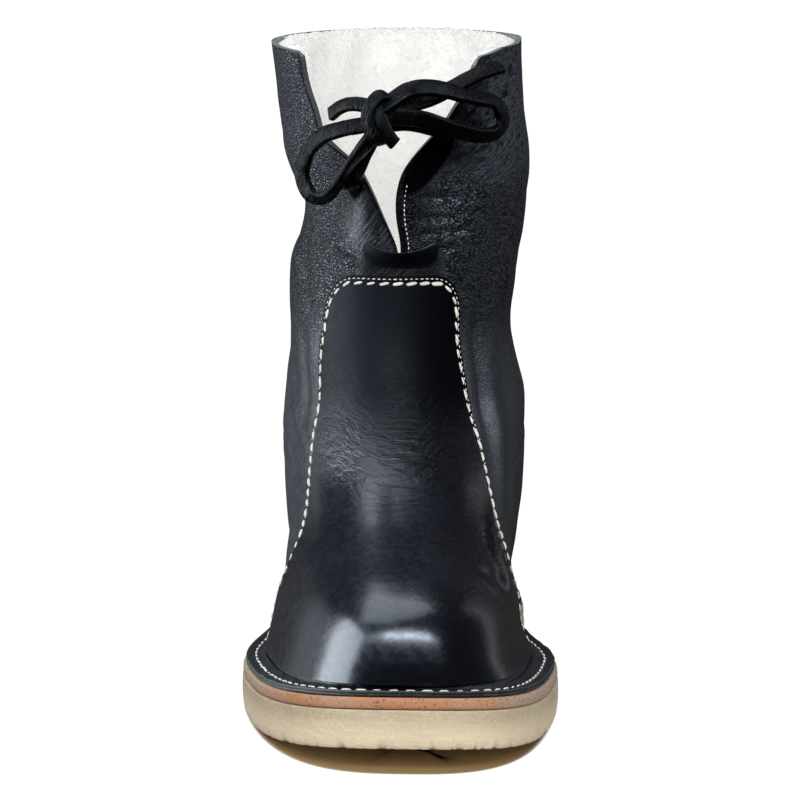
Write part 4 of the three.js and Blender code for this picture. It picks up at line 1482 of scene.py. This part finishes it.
@dataclass
class Sole(Part):
    """Crepe outsole and tan board, both of the same outline."""

    crepe: float = 13.5 * MM
    bevel: float = 2.2 * MM
    board: float = 4 * MM
    board_inset: float = 0.3 * MM
    gap: float = 0.3 * MM
    angles: int = 1200
    edge: dict[str, Array] = table(
        "bevel height",
        (1.9, 0), (0.62, 0), (0.5, 0.02), (0.38, 0.06), (0.26, 0.12), (0.17, 0.2), (0.09, 0.3),
        (0.03, 0.42), (0, 0.52), (0, 0.64), (0.02, 0.76), (0.03, 0.86), (0.05, 0.94), (0.1, 0.985),
        (0.22, 1), (1.5, 1),
    )

    def slab(self, rows: list[Array], name: str, finish: bpy.types.Material) -> Piece:
        """Close a stack of outlines into a slab.

        Args:
            rows: Outlines, from the bottom up.
            name: The piece's name.
            finish: Its material.

        Returns:
            The piece.
        """
        draft = Draft()
        numbers = draft.add_points(np.stack(rows))
        draft.add_grid(numbers, wrap=True)
        for ring in (numbers[0], numbers[-1]):
            left = ring[: self.angles // 2 + 1]
            right = np.concatenate([ring[:1], ring[self.angles // 2:][::-1]])
            draft.add_faces([
                [int(n) for n in dict.fromkeys((left[j], left[j + 1], right[j + 1], right[j]))]
                for j in range(self.angles // 2)
            ])
        return draft.build(name, [finish], sharp=75)

    def build_crepe(self) -> Piece:
        """Make the crepe slab, with its ragged lower edge."""
        turns = TURN * np.arange(self.angles) / self.angles
        rim = self.form.outline(turns, self.form.welt_margin, 0.0)
        soft = waves(rim, 16 * MM, 1.0) * 0.3 * MM
        notch = np.maximum(waves(rim, 2.6 * MM, 7.0, 4) - 0.05, 0) * 1.0 * MM
        rows = []
        for bevel, height in zip(self.edge["bevel"], self.edge["height"]):
            low = max(0.0, 1 - height / 0.22) * (bevel < 1)
            out = self.form.welt_margin - self.bevel * bevel + soft * min(1.0, 2 * height + 0.3)
            out = out - notch * low
            z = self.crepe * height + notch * low
            rows.append(self.form.outline(turns, out, z))
        piece = self.slab(rows, "crepe_outsole", self.finishes["crepe"])
        at = places(piece)
        height = at[:, 2] - self.form.lift(at[:, 1] + self.form.centre[1])
        # Painted bounce light: the crepe is lighter towards the bottom.
        add_mask(piece, "paling_and_bounce_light", smoothstep(0.95, 0.2, height / self.crepe))
        return dress(piece, "crepe", "outsole")

    def build_board(self) -> Piece:
        """Make the tan board between crepe and upper."""
        turns = TURN * np.arange(self.angles) / self.angles
        base = self.crepe + self.gap
        top = base + self.board
        reach = self.form.welt_margin - self.board_inset
        rim = self.form.outline(turns, reach, base)
        rough = waves(rim, 7 * MM, 21.0) * 0.2 * MM
        rows = [
            self.form.outline(turns, reach - inset + rough * (inset < 1 * MM), z)
            for inset, z in (
                (3 * MM, base), (0.5 * MM, base), (0.1 * MM, base + 0.4 * MM), (0.0, base + 1.2 * MM),
                (0.05 * MM, base + 2.6 * MM), (0.15 * MM, top - 0.4 * MM), (0.5 * MM, top), (3 * MM, top),
            )
        ]
        piece = self.slab(rows, "tan_midsole", self.finishes["tan_board"])
        at = places(piece)
        front = smoothstep(-0.02, -0.11, at[:, 1])
        add_mask(piece, "paling_and_bounce_light", 1 - front * smoothstep(0.054, 0.03, np.abs(at[:, 0])))
        return dress(piece, "tan_leather", "midsole")


@dataclass
class Shearling(Part):
    """Deep wool inside the shaft: a lumpy skin and curled locks over it."""

    slit: Slit
    start: float = 2.3 * MM
    depth: float = 6.5 * MM
    lump_share: float = 0.16
    foot_ring: float = 6.0
    columns: int = 301
    closed_rows: int = 49
    open_rows: int = 102
    rim_rows: int = 9
    lock_count: int = 9800
    rim_share: float = 0.16
    rim_length: float = 0.35
    lock_length: float = 4.6 * MM
    lock_width: float = 0.5 * MM
    lock_sides: int = 3
    curl: float = 0.8 * MM
    curl_turn: float = 4.4
    sink: float = 0.5 * MM

    def pile(self, ring: Array, angle: Array) -> Array:
        """Give the depth of the wool at rings and angles."""
        lump = np.sin(7 * angle + 2.1 * ring) + np.sin(11 * angle - 3.3 * ring)
        return self.depth * (1 + self.lump_share * lump)

    def skin(self) -> tuple[Array, Array]:
        """Lay out the wool's seen face, over the rim, and the face against the leather.

        Returns:
            The two grids of points.
        """
        low = np.linspace(self.foot_ring, self.slit.bottom_ring, self.closed_rows)
        high = np.linspace(self.slit.bottom_ring, self.form.collar - 0.12, self.open_rows + 1)[1:]
        rows = np.concatenate([low, high])
        angles = self.slit.angles(rows, self.columns, 1.2 * MM)
        ring = self.slit.rounded(rows, angles)
        side = np.minimum(np.arange(self.columns), np.arange(self.columns)[::-1])[None, :]
        thin = smoothstep(0, 9, side + 12.0 * (ring <= self.slit.bottom_ring))
        pile = self.pile(ring, angles) * (0.35 + 0.65 * thin)
        face = self.form.point(ring, angles, -self.start - pile, creased=False)
        out = self.form.normal(ring, angles)
        tuft = waves(face, 9 * MM, 31.0, 3) * 0.9 * MM + waves(face, 3 * MM, 77.0, 2) * 0.35 * MM
        face = face + out * np.minimum(tuft, 1.3 * MM)[..., None] * thin[..., None]
        back = self.form.point(ring, angles, -self.start, creased=False)
        top_face, top_back = face[-1], back[-1]
        turn = np.linspace(0, math.pi / 2, self.rim_rows + 1)[1:][:, None, None]
        middle = (top_face + top_back) / 2
        rise = np.array([0, 0, 1.2 * MM])
        lip = middle + (top_face - middle) * np.cos(turn) + rise * np.sin(turn)
        fuzz = waves(lip, 3.2 * MM, 5.0, 3)[..., None] * np.array([0, 0, 0.25 * MM])
        seen = np.concatenate([face, lip + fuzz])
        hidden = np.concatenate([back, np.repeat(back[-1:], self.rim_rows, 0)])
        return seen, hidden

    def build(self) -> list[Piece]:
        """Make the wool's skin and locks.

        Returns:
            The pieces.
        """
        seen, hidden = self.skin()
        draft = Draft()
        shell = Shell(seen=seen, hidden=hidden, open_row=self.closed_rows - 1, edge_finish=0, hidden_finish=0)
        shell.lay(draft)
        skin = draft.build("shearling_skin", [self.finishes["wool"]], sharp=170)
        dress(skin, "shearling", "fleece_lining")
        locks = self.locks(seen, self.finishes["wool"])
        return [skin, dress(locks, "shearling")]

    def locks(self, seen: Array, finish: bpy.types.Material) -> Piece:
        """Plant curled locks over the seen face, close along the rim and thinner further down.

        Args:
            seen: Points of the wool's seen face.
            finish: The wool's material.

        Returns:
            One joined mesh.
        """
        draws = np.random.default_rng(7)
        rows, columns = seen.shape[:2]
        count = self.lock_count
        top = self.closed_rows + self.open_rows
        deep = self.closed_rows * 0.6
        row = deep + (top - deep) * draws.random(count) ** 0.62
        rim = draws.random(count) < self.rim_share
        row = np.where(rim, top - 2 + (rows - top) * draws.random(count), row).astype(int)
        column = (draws.random(count) * (columns - 1)).astype(int)
        row = np.clip(row, 1, rows - 2)
        root = seen[row, column]
        along = seen[row + 1, column] - seen[row - 1, column]
        around = seen[row, (column + 1) % (columns - 1)] - seen[row, column - 1]
        out = unit(np.cross(around, along))
        rise = unit(along)
        side = np.cross(out, rise)
        lean = draws.normal(0, 1, (count, 2))
        way = unit(out * 0.85 + rise * (0.15 + 0.45 * lean[:, :1]) + side * 0.5 * lean[:, 1:])
        way = np.where(rim[:, None], unit(way * np.array([1, 1, 0.3])), way)
        curl = unit(draws.normal(0, 1, (count, 3)))
        length = self.lock_length * (0.55 + 0.6 * draws.random(count)) * np.where(rim, self.rim_length, 1.0)
        width = self.lock_width * (0.6 + 0.8 * draws.random(count))
        stops = np.array([0, 0.35, 0.7, 1.0])
        taper = np.array([1.0, 0.85, 0.5, 0.06])
        spin = draws.random(count) * TURN
        first = unit(np.cross(way, curl))
        second = np.cross(way, first)
        points = []
        for t, share in zip(stops, taper):
            wound = spin + self.curl_turn * t
            swirl = np.sin(wound)[:, None] * first + np.cos(wound)[:, None] * second
            centre = root - out * self.sink + way * (length * t)[:, None] + swirl * self.curl * t
            for k in range(self.lock_sides):
                turn = spin + TURN * k / self.lock_sides
                spoke = np.cos(turn)[:, None] * first + np.sin(turn)[:, None] * second
                points.append(centre + spoke * (width * share / 2)[:, None])
        grid = np.stack(points, 1)
        numbers = np.arange(grid.size // 3).reshape(count, len(stops), self.lock_sides)
        ring = np.concatenate([numbers, numbers[:, :, :1]], 2)
        quads = np.stack([ring[:, :-1, :-1], ring[:, :-1, 1:], ring[:, 1:, 1:], ring[:, 1:, :-1]], -1)
        faces = quads.reshape(-1, 4).tolist()
        faces += numbers[:, -1].tolist()
        faces += numbers[:, 0, ::-1].tolist()
        mesh = mesh_of("shearling_locks", grid, faces)
        mesh.shade_smooth()
        return add_piece(mesh, finish)


@dataclass(frozen=True)
class Thread:
    """One kind of stitch: length, width and height of what shows of each, and its slant in degrees."""

    length: float
    width: float
    height: float
    slant: float = 0.0
    rings: int = 7
    sides: int = 8
    uneven: float = 0.12

    def bead(self) -> tuple[Array, list[list[int]]]:
        """Make one stitch along X: points and faces."""
        t = np.linspace(-1, 1, self.rings)
        full = np.sqrt(np.maximum(1 - np.abs(t) ** 2.6, 0)) * 0.92 + 0.08
        turn = TURN * np.arange(self.sides) / self.sides
        sag = -0.45 * self.height * t**4
        points = np.stack([
            np.repeat(t * self.length / 2, self.sides),
            np.outer(full, np.cos(turn)).ravel() * self.width / 2,
            (np.outer(full, np.sin(turn)) * self.height / 2 + sag[:, None]).ravel(),
        ], -1)
        faces = []
        for i in range(self.rings - 1):
            for j in range(self.sides):
                k = (j + 1) % self.sides
                low = i * self.sides
                faces.append([low + j, low + k, low + self.sides + k, low + self.sides + j])
        faces.append(list(range(self.sides))[::-1])
        faces.append([(self.rings - 1) * self.sides + j for j in range(self.sides)])
        return points, faces

    def row(self, spots: Array, along: Array, out: Array, name: str,
            finish: bpy.types.Material, seed: int = 1) -> Piece:
        """Lay stitches along a line as one joined mesh.

        Args:
            spots: Places of the stitches.
            along: Directions along the line.
            out: Directions out of the leather.
            name: The piece's name.
            finish: The thread's material.
            seed: Seed of the small unevenness.

        Returns:
            The piece.
        """
        draws = np.random.default_rng(seed)
        points, faces = self.bead()
        across = unit(np.cross(out, along))
        lean = np.radians(self.slant + 5 * draws.normal(0, 1, len(spots)))[:, None]
        x = along * np.cos(lean) + across * np.sin(lean)
        y = np.cross(out, x)
        size = 1 + self.uneven * draws.normal(0, 1, (len(spots), 1, 1))
        local = points[None] * size
        placed = spots[:, None] + local[..., :1] * x[:, None] + local[..., 1:2] * y[:, None]
        placed = placed + local[..., 2:] * out[:, None]
        made = [[n + i * len(points) for n in face] for i in range(len(spots)) for face in faces]
        mesh = mesh_of(name, placed, made)
        mesh.shade_smooth()
        return add_piece(mesh, finish)


@dataclass
class Stitching(Part):
    """Every row of white thread on the boot."""

    panel: FrontPanel
    upper: Upper
    slit: Slit
    hand: Thread = Thread(4.1 * MM, 1.2 * MM, 1.0 * MM, slant=9)
    fine: Thread = Thread(1.2 * MM, 0.42 * MM, 0.34 * MM, rings=5, sides=6)
    lock: Thread = Thread(3.7 * MM, 0.85 * MM, 0.6 * MM, slant=3)

    def build(self) -> list[Piece]:
        """Make the stitches.

        Returns:
            The pieces, one for each row.
        """
        white = self.finishes["thread"]
        made = []
        step = self.panel.seat + self.panel.thickness
        spots, along, out = self.panel.line(self.panel.stitch_line, 4.95 * MM, step - 0.15 * MM)
        made.append(self.hand.row(spots, along, out, "panel_hand_stitches", white, 2))
        spots, along, out = self.panel.line(self.panel.fine_line, 1.95 * MM, self.panel.margin + 0.05 * MM)
        made.append(self.fine.row(spots, along, out, "panel_fine_stitches", white, 3))
        made.append(self.welt(white))
        made.append(self.slit_edge(white))
        for piece in made:
            dress(piece, "shearling")
        return made

    def welt(self, white: bpy.types.Material) -> Piece:
        """Make the lock stitches that hold the turned-out edge to the midsole."""
        turns = np.linspace(0, TURN, 1441)
        reach = (self.form.welt_margin - self.upper.turnout_inset) * 0.5
        top = self.form.upper_base + self.upper.wall + 0.05 * MM
        line = self.form.outline(turns, np.full(turns.shape, reach), top)
        length = lengths(line)
        count = round(length[-1] / (5.65 * MM))
        at = np.arange(count) * length[-1] / count
        spots = read_line(line, length, at)
        along = unit(np.roll(spots, -1, 0) - np.roll(spots, 1, 0))
        out = unit(np.array([0, 0, 1.0]) - along * along[:, 2:])
        return self.lock.row(spots, along, out, "welt_stitches", white, 4)

    def slit_edge(self, white: bpy.types.Material) -> Piece:
        """Make the fine stitches beside the inner edge of the slit, from the tab upward."""
        rings = np.linspace(9.5, 10.75, 160)
        turn = self.slit.turn(rings, Side.INNER) + math.radians(3.6)
        line = self.form.point(rings, FRONT - turn, 0.1 * MM)
        length = lengths(line)
        at = np.interp(np.arange(0, length[-1], 1.75 * MM), length, np.arange(len(line)))
        pick = at.astype(int)
        along = unit(np.gradient(line, axis=0))[pick]
        out = self.form.normal(rings, FRONT - turn)[pick]
        return self.fine.row(line[pick], along, out, "slit_stitches", white, 5)


@dataclass(frozen=True)
class Thong:
    """One stretch of the flat leather thong.

    Each row is a point of its line, in millimetres in the last's own coordinates, as in the boot's source,
    and the direction in which its broad face looks there. All are given one by one.
    """

    name: str
    rows: tuple[tuple[float, ...], ...]
    width: float = 5.9 * MM
    thickness: float = 2.3 * MM
    corner: float = 0.5 * MM
    step: float = 0.8 * MM

    def smooth(self, form: BootForm) -> tuple[Array, Array]:
        """Read the rows at even steps along the line, by Catmull-Rom.

        Args:
            form: The boot's form, for its frame.

        Returns:
            The path and the directions of the broad face.
        """
        given = np.array(self.rows) * np.array([MM, MM, MM, 1, 1, 1])
        span = lengths(given[:, :3])
        count = max(12, round(span[-1] / self.step))
        at = np.interp(np.linspace(0, span[-1], count), span, np.arange(len(span)))
        read = np.stack([smooth_between(column, at) for column in given.T], -1)
        return read[:, :3] - form.centre, read[:, 3:]

    def section(self) -> Array:
        """List the section's outline: across and through."""
        w, t, r = self.width / 2, self.thickness / 2, self.corner
        arc = [(w - r + r * math.cos(a), t - r + r * math.sin(a)) for a in np.radians([8, 45, 82])]
        arc += [(0.6 * (w - r), t), (0.25 * (w - r), t)]
        half = arc + [(-x, z) for x, z in arc[::-1]]
        return np.array(half + [(-x, -z) for x, z in half])

    def lay(self, draft: Draft, form: BootForm) -> None:
        """Add the strap to a draft, with both ends closed."""
        path, face = self.smooth(form)
        along = unit(np.gradient(path, axis=0))
        face = unit(face - along * np.sum(face * along, -1, keepdims=True))
        across = np.cross(along, face)
        section = self.section()
        wave = waves(path, 8 * MM, 1.7 * len(self.name), 2)[:, None, None]
        wide = section[None, :, :1] * (1 + 0.08 * wave)
        cup = 0.25 * MM * ((section[:, 0] / (self.width / 2)) ** 2)[None, :, None] * (1 + wave)
        grid = path[:, None] + across[:, None] * wide + face[:, None] * (section[None, :, 1:] - cup)
        ripple = waves(grid, 3.2 * MM, 4.0 + len(self.name), 3)[..., None] * 0.16 * MM
        grid = grid + face[:, None] * ripple
        numbers = draft.add_points(grid)
        draft.add_grid(numbers, wrap=True)
        draft.add_faces([[int(n) for n in numbers[0]], [int(n) for n in numbers[-1]]])


@dataclass
class Bow(Part):
    """The thong tied in a bow over the slit, with both its straps out through the slots."""

    strap: Thong = Thong(
        "thong_strap",
        (
            (-14.5, 9.5, 179.5, 0.2, -0.3, 0.9), (-14.5, 4, 180.5, 0.2, -0.7, 0.7),
            (-12, -1.5, 186.5, 0.5, -0.9, 0.1), (-8.5, -2.2, 194.5, 0.4, -0.9, 0),
            (-3.5, -2.2, 202, 0.2, -1, 0.1), (4, -2.2, 204, 0, -1, 0.2),
            (13, 0.5, 202.5, -0.3, -0.9, 0.3), (19.5, 6, 199.5, -0.6, -0.7, 0.4),
            (20, 12, 198, -0.6, -0.5, 0.7), (18.5, 16, 197, -0.6, -0.5, 0.7),
        ),
    )
    loop_left: Thong = Thong(
        "thong_loop_left",
        (
            (-5, -9, 205, 0, -0.9, 0.4), (-9.3, -8.5, 203.8, 0, -0.9, 0.5),
            (-17.5, -6, 202, -0.2, -0.8, 0.6), (-25, 1, 198.5, -0.5, -0.8, 0.4),
            (-30.5, 8, 191.5, -0.6, -0.8, 0.2), (-32.8, 12, 184, -0.6, -0.8, 0),
            (-30.5, 11, 177, -0.5, -0.8, -0.3), (-25, 6, 175.5, 0, -0.7, -0.7),
            (-20, -1, 180, 0.6, -0.5, -0.6), (-14.5, -7, 188.5, 0.8, -0.4, -0.4),
            (-7.6, -8.6, 197.4, 0.7, -0.7, -0.2), (-5, -8, 201, 0.6, -0.8, 0),
        ),
    )
    loop_right: Thong = Thong(
        "thong_loop_right",
        (
            (-3, -10, 210, -0.4, -0.8, 0.5), (0.8, -9.6, 212.6, -0.3, -0.8, 0.6),
            (7.5, -8, 216.5, -0.1, -0.8, 0.6), (16, -3, 216.5, 0.1, -0.8, 0.6),
            (25, 4, 213.5, 0.2, -0.7, 0.7), (31, 9.8, 211.6, 0.3, -0.65, 0.7),
            (34.7, 14.3, 210.2, 0.4, -0.6, 0.7), (37.3, 17.6, 208, 0.6, -0.6, 0.5),
            (38.9, 19.5, 205, 0.8, -0.55, 0.2), (39, 19.9, 201.6, 0.85, -0.5, -0.15),
            (37.5, 18.4, 198.8, 0.6, -0.6, -0.5), (34.5, 15, 197.6, 0.2, -0.8, -0.55),
            (30, 9.8, 198.2, -0.1, -0.9, -0.35), (24.5, 4.2, 200, -0.25, -0.95, -0.15),
            (18, -2, 203, -0.3, -0.95, -0.1), (10, -7, 206, -0.3, -0.95, 0),
            (3, -8.8, 207, -0.2, -0.95, 0), (-1.5, -9, 207, -0.1, -1, 0.1),
        ),
        width=6.2 * MM,
    )
    end_left: Thong = Thong(
        "thong_end_left",
        (
            (-21.5, 0, 206.5, -0.3, -0.8, 0.5), (-18, -3.5, 209.5, -0.3, -0.8, 0.6),
            (-14, -6.5, 211, -0.1, -0.8, 0.6), (-9.1, -8.5, 211, 0.1, -0.8, 0.5),
            (-4, -9, 209, 0.2, -0.9, 0.4),
        ),
        width=5.2 * MM,
    )
    end_right: Thong = Thong(
        "thong_end_right",
        (
            (-3, -6.5, 209.5, -0.3, -0.9, 0.4), (1, -5.4, 210.5, -0.3, -0.9, 0.4),
            (7, -2.5, 211, -0.3, -0.9, 0.4), (13, 1, 212, -0.3, -0.9, 0.5),
            (19, 5, 214.5, -0.4, -0.8, 0.5), (26, 9, 218, -0.4, -0.8, 0.5),
            (33, 13.5, 221, -0.3, -0.8, 0.5), (38, 18.5, 222, -0.3, -0.8, 0.5),
        ),
    )
    core: Thong = Thong(
        "knot_core",
        (
            (-3, -8, 212.5, 0.1, -1, 0), (-3.6, -8.2, 209, 0, -1, 0),
            (-3.8, -8.4, 205.5, 0, -1, 0), (-3.2, -8.2, 202, 0, -1, 0),
            (-2.4, -8, 199.6, 0, -1, 0),
        ),
        width=7.6 * MM, thickness=6 * MM, corner=2.4 * MM,
    )
    wrap: Thong = Thong(
        "knot_wrap",
        (
            (0.6, -5.2, 211.5, 0.6, 0.2, 0.7), (-0.8, -8.6, 214.2, 0.3, -0.3, 0.9),
            (-3.6, -11.4, 214.4, -0.1, -0.7, 0.7), (-6.2, -12.6, 211.4, -0.4, -0.9, 0.3),
            (-7.4, -12.9, 207.4, -0.4, -0.9, 0), (-6.9, -12.8, 203.2, -0.4, -0.9, -0.1),
            (-5.2, -12.2, 199.6, -0.3, -0.8, -0.5), (-3, -9.8, 197.6, 0, -0.5, -0.9),
            (-1, -6, 198.6, 0.2, 0.2, -0.9),
        ),
        width=5.2 * MM, thickness=2 * MM,
    )
    tail: Thong = Thong(
        "knot_tail",
        (
            (-4.4, -10.6, 211, 0.3, -0.9, 0.3), (-3.4, -12, 208, 0.3, -0.9, 0.1),
            (-2.2, -12.6, 205, 0.4, -0.9, 0), (-0.9, -12.4, 202, 0.4, -0.9, 0.1),
            (0.8, -11.6, 199.2, 0.4, -0.9, 0.2), (2.2, -10.8, 197.4, 0.4, -0.9, 0.2),
        ),
        width=5 * MM, thickness=1.8 * MM,
    )

    def piece(self, name: str, thongs: list[Thong], node: str) -> Piece:
        """Make one piece of stretches of thong.

        Args:
            name: The piece's name.
            thongs: The stretches.
            node: The node that the piece replaces.

        Returns:
            The piece.
        """
        draft = Draft()
        for thong in thongs:
            thong.lay(draft, self.form)
        made = draft.build(name, [self.finishes["lace_leather"]], sharp=70)
        at = places(made)
        add_mask(made, "wrinkled", np.clip(0.5 + waves(at, 12 * MM, 2.0, 2), 0, 1))
        add_mask(made, "pebbled", np.ones(len(at)))
        add_mask(made, "wear_and_sheen", np.clip(waves(at, 10 * MM, 8.0, 2), 0, 1))
        return dress(made, "lace_leather", node)

    def build(self) -> list[Piece]:
        """Make the bow.

        Returns:
            The pieces.
        """
        knot = self.piece("thong_knot", [self.core, self.wrap, self.tail], "lace_knot")
        short_end = self.piece("thong_end_left", [self.end_left], "lace_end_left")
        pieces = [knot, short_end]
        for thong, node, far_end, held in (
            (self.strap, "lace_bar", "object", [knot]),
            (self.loop_left, "lace_loop_left", "knot", [short_end]),
            (self.loop_right, "lace_loop_right", "knot", []),
            (self.end_right, "lace_end_right", "bare", []),
        ):
            made = self.piece(thong.name, [thong], node)
            path, _ = thong.smooth(self.form)
            pieces.append(made)
        return pieces


@dataclass(frozen=True)
class Softbox:
    """A flat lamp: where it hangs, its width and height, its watts and its colour."""

    name: str
    place: Triple
    size: tuple[float, float]
    power: float
    color: Triple = (0.95, 0.98, 1.0)

    def hang(self, aim: Triple) -> Piece:
        """Hang the lamp, turned to a place, and return it."""
        light = bpy.data.lights.new(self.name, "AREA")
        light.shape = "RECTANGLE"
        light.size, light.size_y = self.size
        light.energy = self.power
        light.color = self.color
        held = bpy.data.objects.new(self.name, light)
        held.location = self.place
        held.rotation_euler = (Vector(self.place) - Vector(aim)).to_track_quat("Z", "Y").to_euler()
        held.visible_camera = False
        bpy.context.scene.collection.objects.link(held)
        return held


WARM_WHITE = (1.0, 0.99, 0.97)


@dataclass
class Setting:
    """Camera, lights and floor of the picture."""

    camera_place: Triple = (0.1241, -2.0761, 0.446)
    camera_pitch: float = 9.34
    camera_turn: float = 3.5
    lens: float = 265.1
    sensor: float = 36.0
    far: float = 20.0
    aim: Triple = (0.0, -0.02, 0.1)
    shared: tuple[Softbox, ...] = (
        Softbox("top_box", (-0.1, -0.88, 0.86), (1.7, 0.2), 6.0),
        Softbox("ceiling_box", (-0.3, 0.15, 1.15), (1.1, 0.8), 8.0),
    )
    keys: tuple[Softbox, ...] = (
        Softbox("toe_key", (0.0, -0.86, 0.86), (0.7, 0.2), 8.0),
        Softbox("left_box", (-1.2, -0.15, 0.3), (1.1, 1.3), 38.0),
        Softbox("left_back_box", (-1.2, 0.8, 0.1), (0.8, 0.9), 1.0),
        Softbox("right_strip", (0.7, 0.8, 0.3), (0.12, 0.9), 0.25),
    )
    side_keys: tuple[Softbox, ...] = (Softbox("right_key", (0.9, -0.1, 0.75), (0.8, 0.8), 9.0),)
    pale_boxes: tuple[Softbox, ...] = (
        Softbox("pale_front", (0.1, -1.5, 0.6), (3.0, 1.2), 27.5, WARM_WHITE),
        Softbox("pale_left", (-1.5, -0.4, 0.2), (0.8, 0.4), 9.0, WARM_WHITE),
        Softbox("pale_right", (1.5, -0.4, 0.2), (0.8, 0.4), 9.0, WARM_WHITE),
    )
    dim: float = 0.05
    white: float = 1.05
    # Painted shadow: the brown of the floor patch in the sole's shade.
    painted_shadow_color: Triple = (0.34, 0.23, 0.1)
    shade_width: float = 0.94
    # Distance out from the sole in millimetres, and how dense the shade is there.
    shade_rows: tuple[tuple[float, float], ...] = ((-40, 1), (-4, 1), (0.6, 1), (1.6, 0.85), (2.6, 0))

    def camera(self) -> None:
        """Place the camera at the photo's angle."""
        camera = bpy.data.cameras.new("view")
        camera.lens = self.lens
        camera.sensor_width = self.sensor
        camera.clip_end = self.far
        held = bpy.data.objects.new("view", camera)
        held.location = self.camera_place
        held.rotation_euler = Euler((math.radians(90 - self.camera_pitch), 0, math.radians(self.camera_turn)))
        bpy.context.scene.collection.objects.link(held)
        bpy.context.scene.camera = held

    def lamps(self, dark: list[Piece], pale: list[Piece]) -> None:
        """Hang the lamps: some for everything, keys for the dark leather and large ones for the pale pieces.

        Args:
            dark: The leather pieces.
            pale: Wool, thread, crepe, board and the floor in the sole's shade.
        """
        sides = [piece for piece in dark if not piece.name.startswith("front_panel")]
        for boxes, name, lit in (
            (self.shared, "everything", None),
            (self.keys, "dark_pieces", dark),
            (self.side_keys, "side_pieces", sides),
            (self.pale_boxes, "pale_pieces", pale),
        ):
            lamps = [box.hang(self.aim) for box in boxes]
            if lit is None:
                continue
            kept_to = bpy.data.collections.new(name)
            for piece in lit:
                kept_to.objects.link(piece)
            for lamp in lamps:
                lamp.light_linking.receiver_collection = kept_to

    def world(self) -> None:
        """Make the surroundings: white where the camera looks past the boot, and nearly dark as light."""
        bpy.context.scene.view_settings.view_transform = "Standard"
        world = bpy.data.worlds.new("studio")
        bpy.context.scene.world = world
        world.use_nodes = True
        wire = Wiring(world.node_tree)
        back = world.node_tree.nodes["Background"]
        seen = wire.node("ShaderNodeLightPath").outputs["Is Camera Ray"]
        wire.fill(back, Color=(1, 1, 1, 1), Strength=wire.ramp(seen, 0.0, 1.0, self.dim, self.white))

    def floor(self, form: BootForm) -> Piece:
        """Lay a patch of floor whose brown colour paints the shadow in the sole's shade, and which fades into
        the white round it.

        Args:
            form: The boot's form, for the sole's outline.

        Returns:
            The patch.
        """
        made, wire, surface = start_material("shaded_floor")
        wire.fill(surface, Base_Color=shade(self.painted_shadow_color), Roughness=0.6)
        clear = wire.node("ShaderNodeBsdfTransparent").outputs[0]
        layers = (wire.mask("shaded"), clear, surface.outputs[0])
        mixed = wire.chain(wire.node("ShaderNodeMixShader"), layers)
        wire.fill(made.node_tree.nodes["Material Output"], Surface=mixed)
        turns = np.linspace(0, TURN, 241)
        out, dense = np.array(self.shade_rows).T
        rows = [form.outline(turns, np.full(turns.shape, form.welt_margin + o * MM), 0.0) for o in out]
        grid = np.stack(rows) * np.array([self.shade_width, 1.0, 0.0])
        draft = Draft()
        draft.add_grid(draft.add_points(grid))
        laid = add_piece(mesh_of("floor_shadow_patch", grid, draft.faces), made)
        add_mask(laid, "shaded", np.repeat(dense, len(turns)))
        return laid

    def build(self, form: BootForm, dark: list[Piece], pale: list[Piece]) -> None:
        """Set up everything round the boot.

        Args:
            form: The boot's form.
            dark: The boot's leather pieces.
            pale: The boot's pale pieces.
        """
        self.camera()
        self.world()
        self.lamps(dark, [self.floor(form), *pale])


def finish_insole(finishes: Finishes, nodes: dict[str, Piece]) -> None:
    """Give the sock board, which stays as the frame has it, its leather."""
    board = nodes["insole"]
    board.data.materials.clear()
    board.data.materials.append(finishes["sock_leather"])


def main() -> None:
    """Dress the boot and light it."""
    logging.basicConfig(level=logging.INFO, format="%(message)s")
    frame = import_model()
    low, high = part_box("outsole")
    form = BootForm(outsole_length=high[1] - low[1])
    finishes = make_finishes()
    slit = Slit(form)
    upper = Upper(form, finishes, slit)
    panel = FrontPanel(form, finishes)
    sole = Sole(form, finishes)
    dark = Bow(form, finishes).build()
    dark += [upper.build(), panel.build(), CatchTab(form, finishes).build()]
    pale = [sole.build_crepe(), sole.build_board()]
    pale += Shearling(form, finishes, slit).build()
    pale += Stitching(form, finishes, panel, upper, slit).build()
    finish_insole(finishes, frame["nodes"])
    Setting().build(form, dark, pale)


if __name__ == "__main__":
    main()
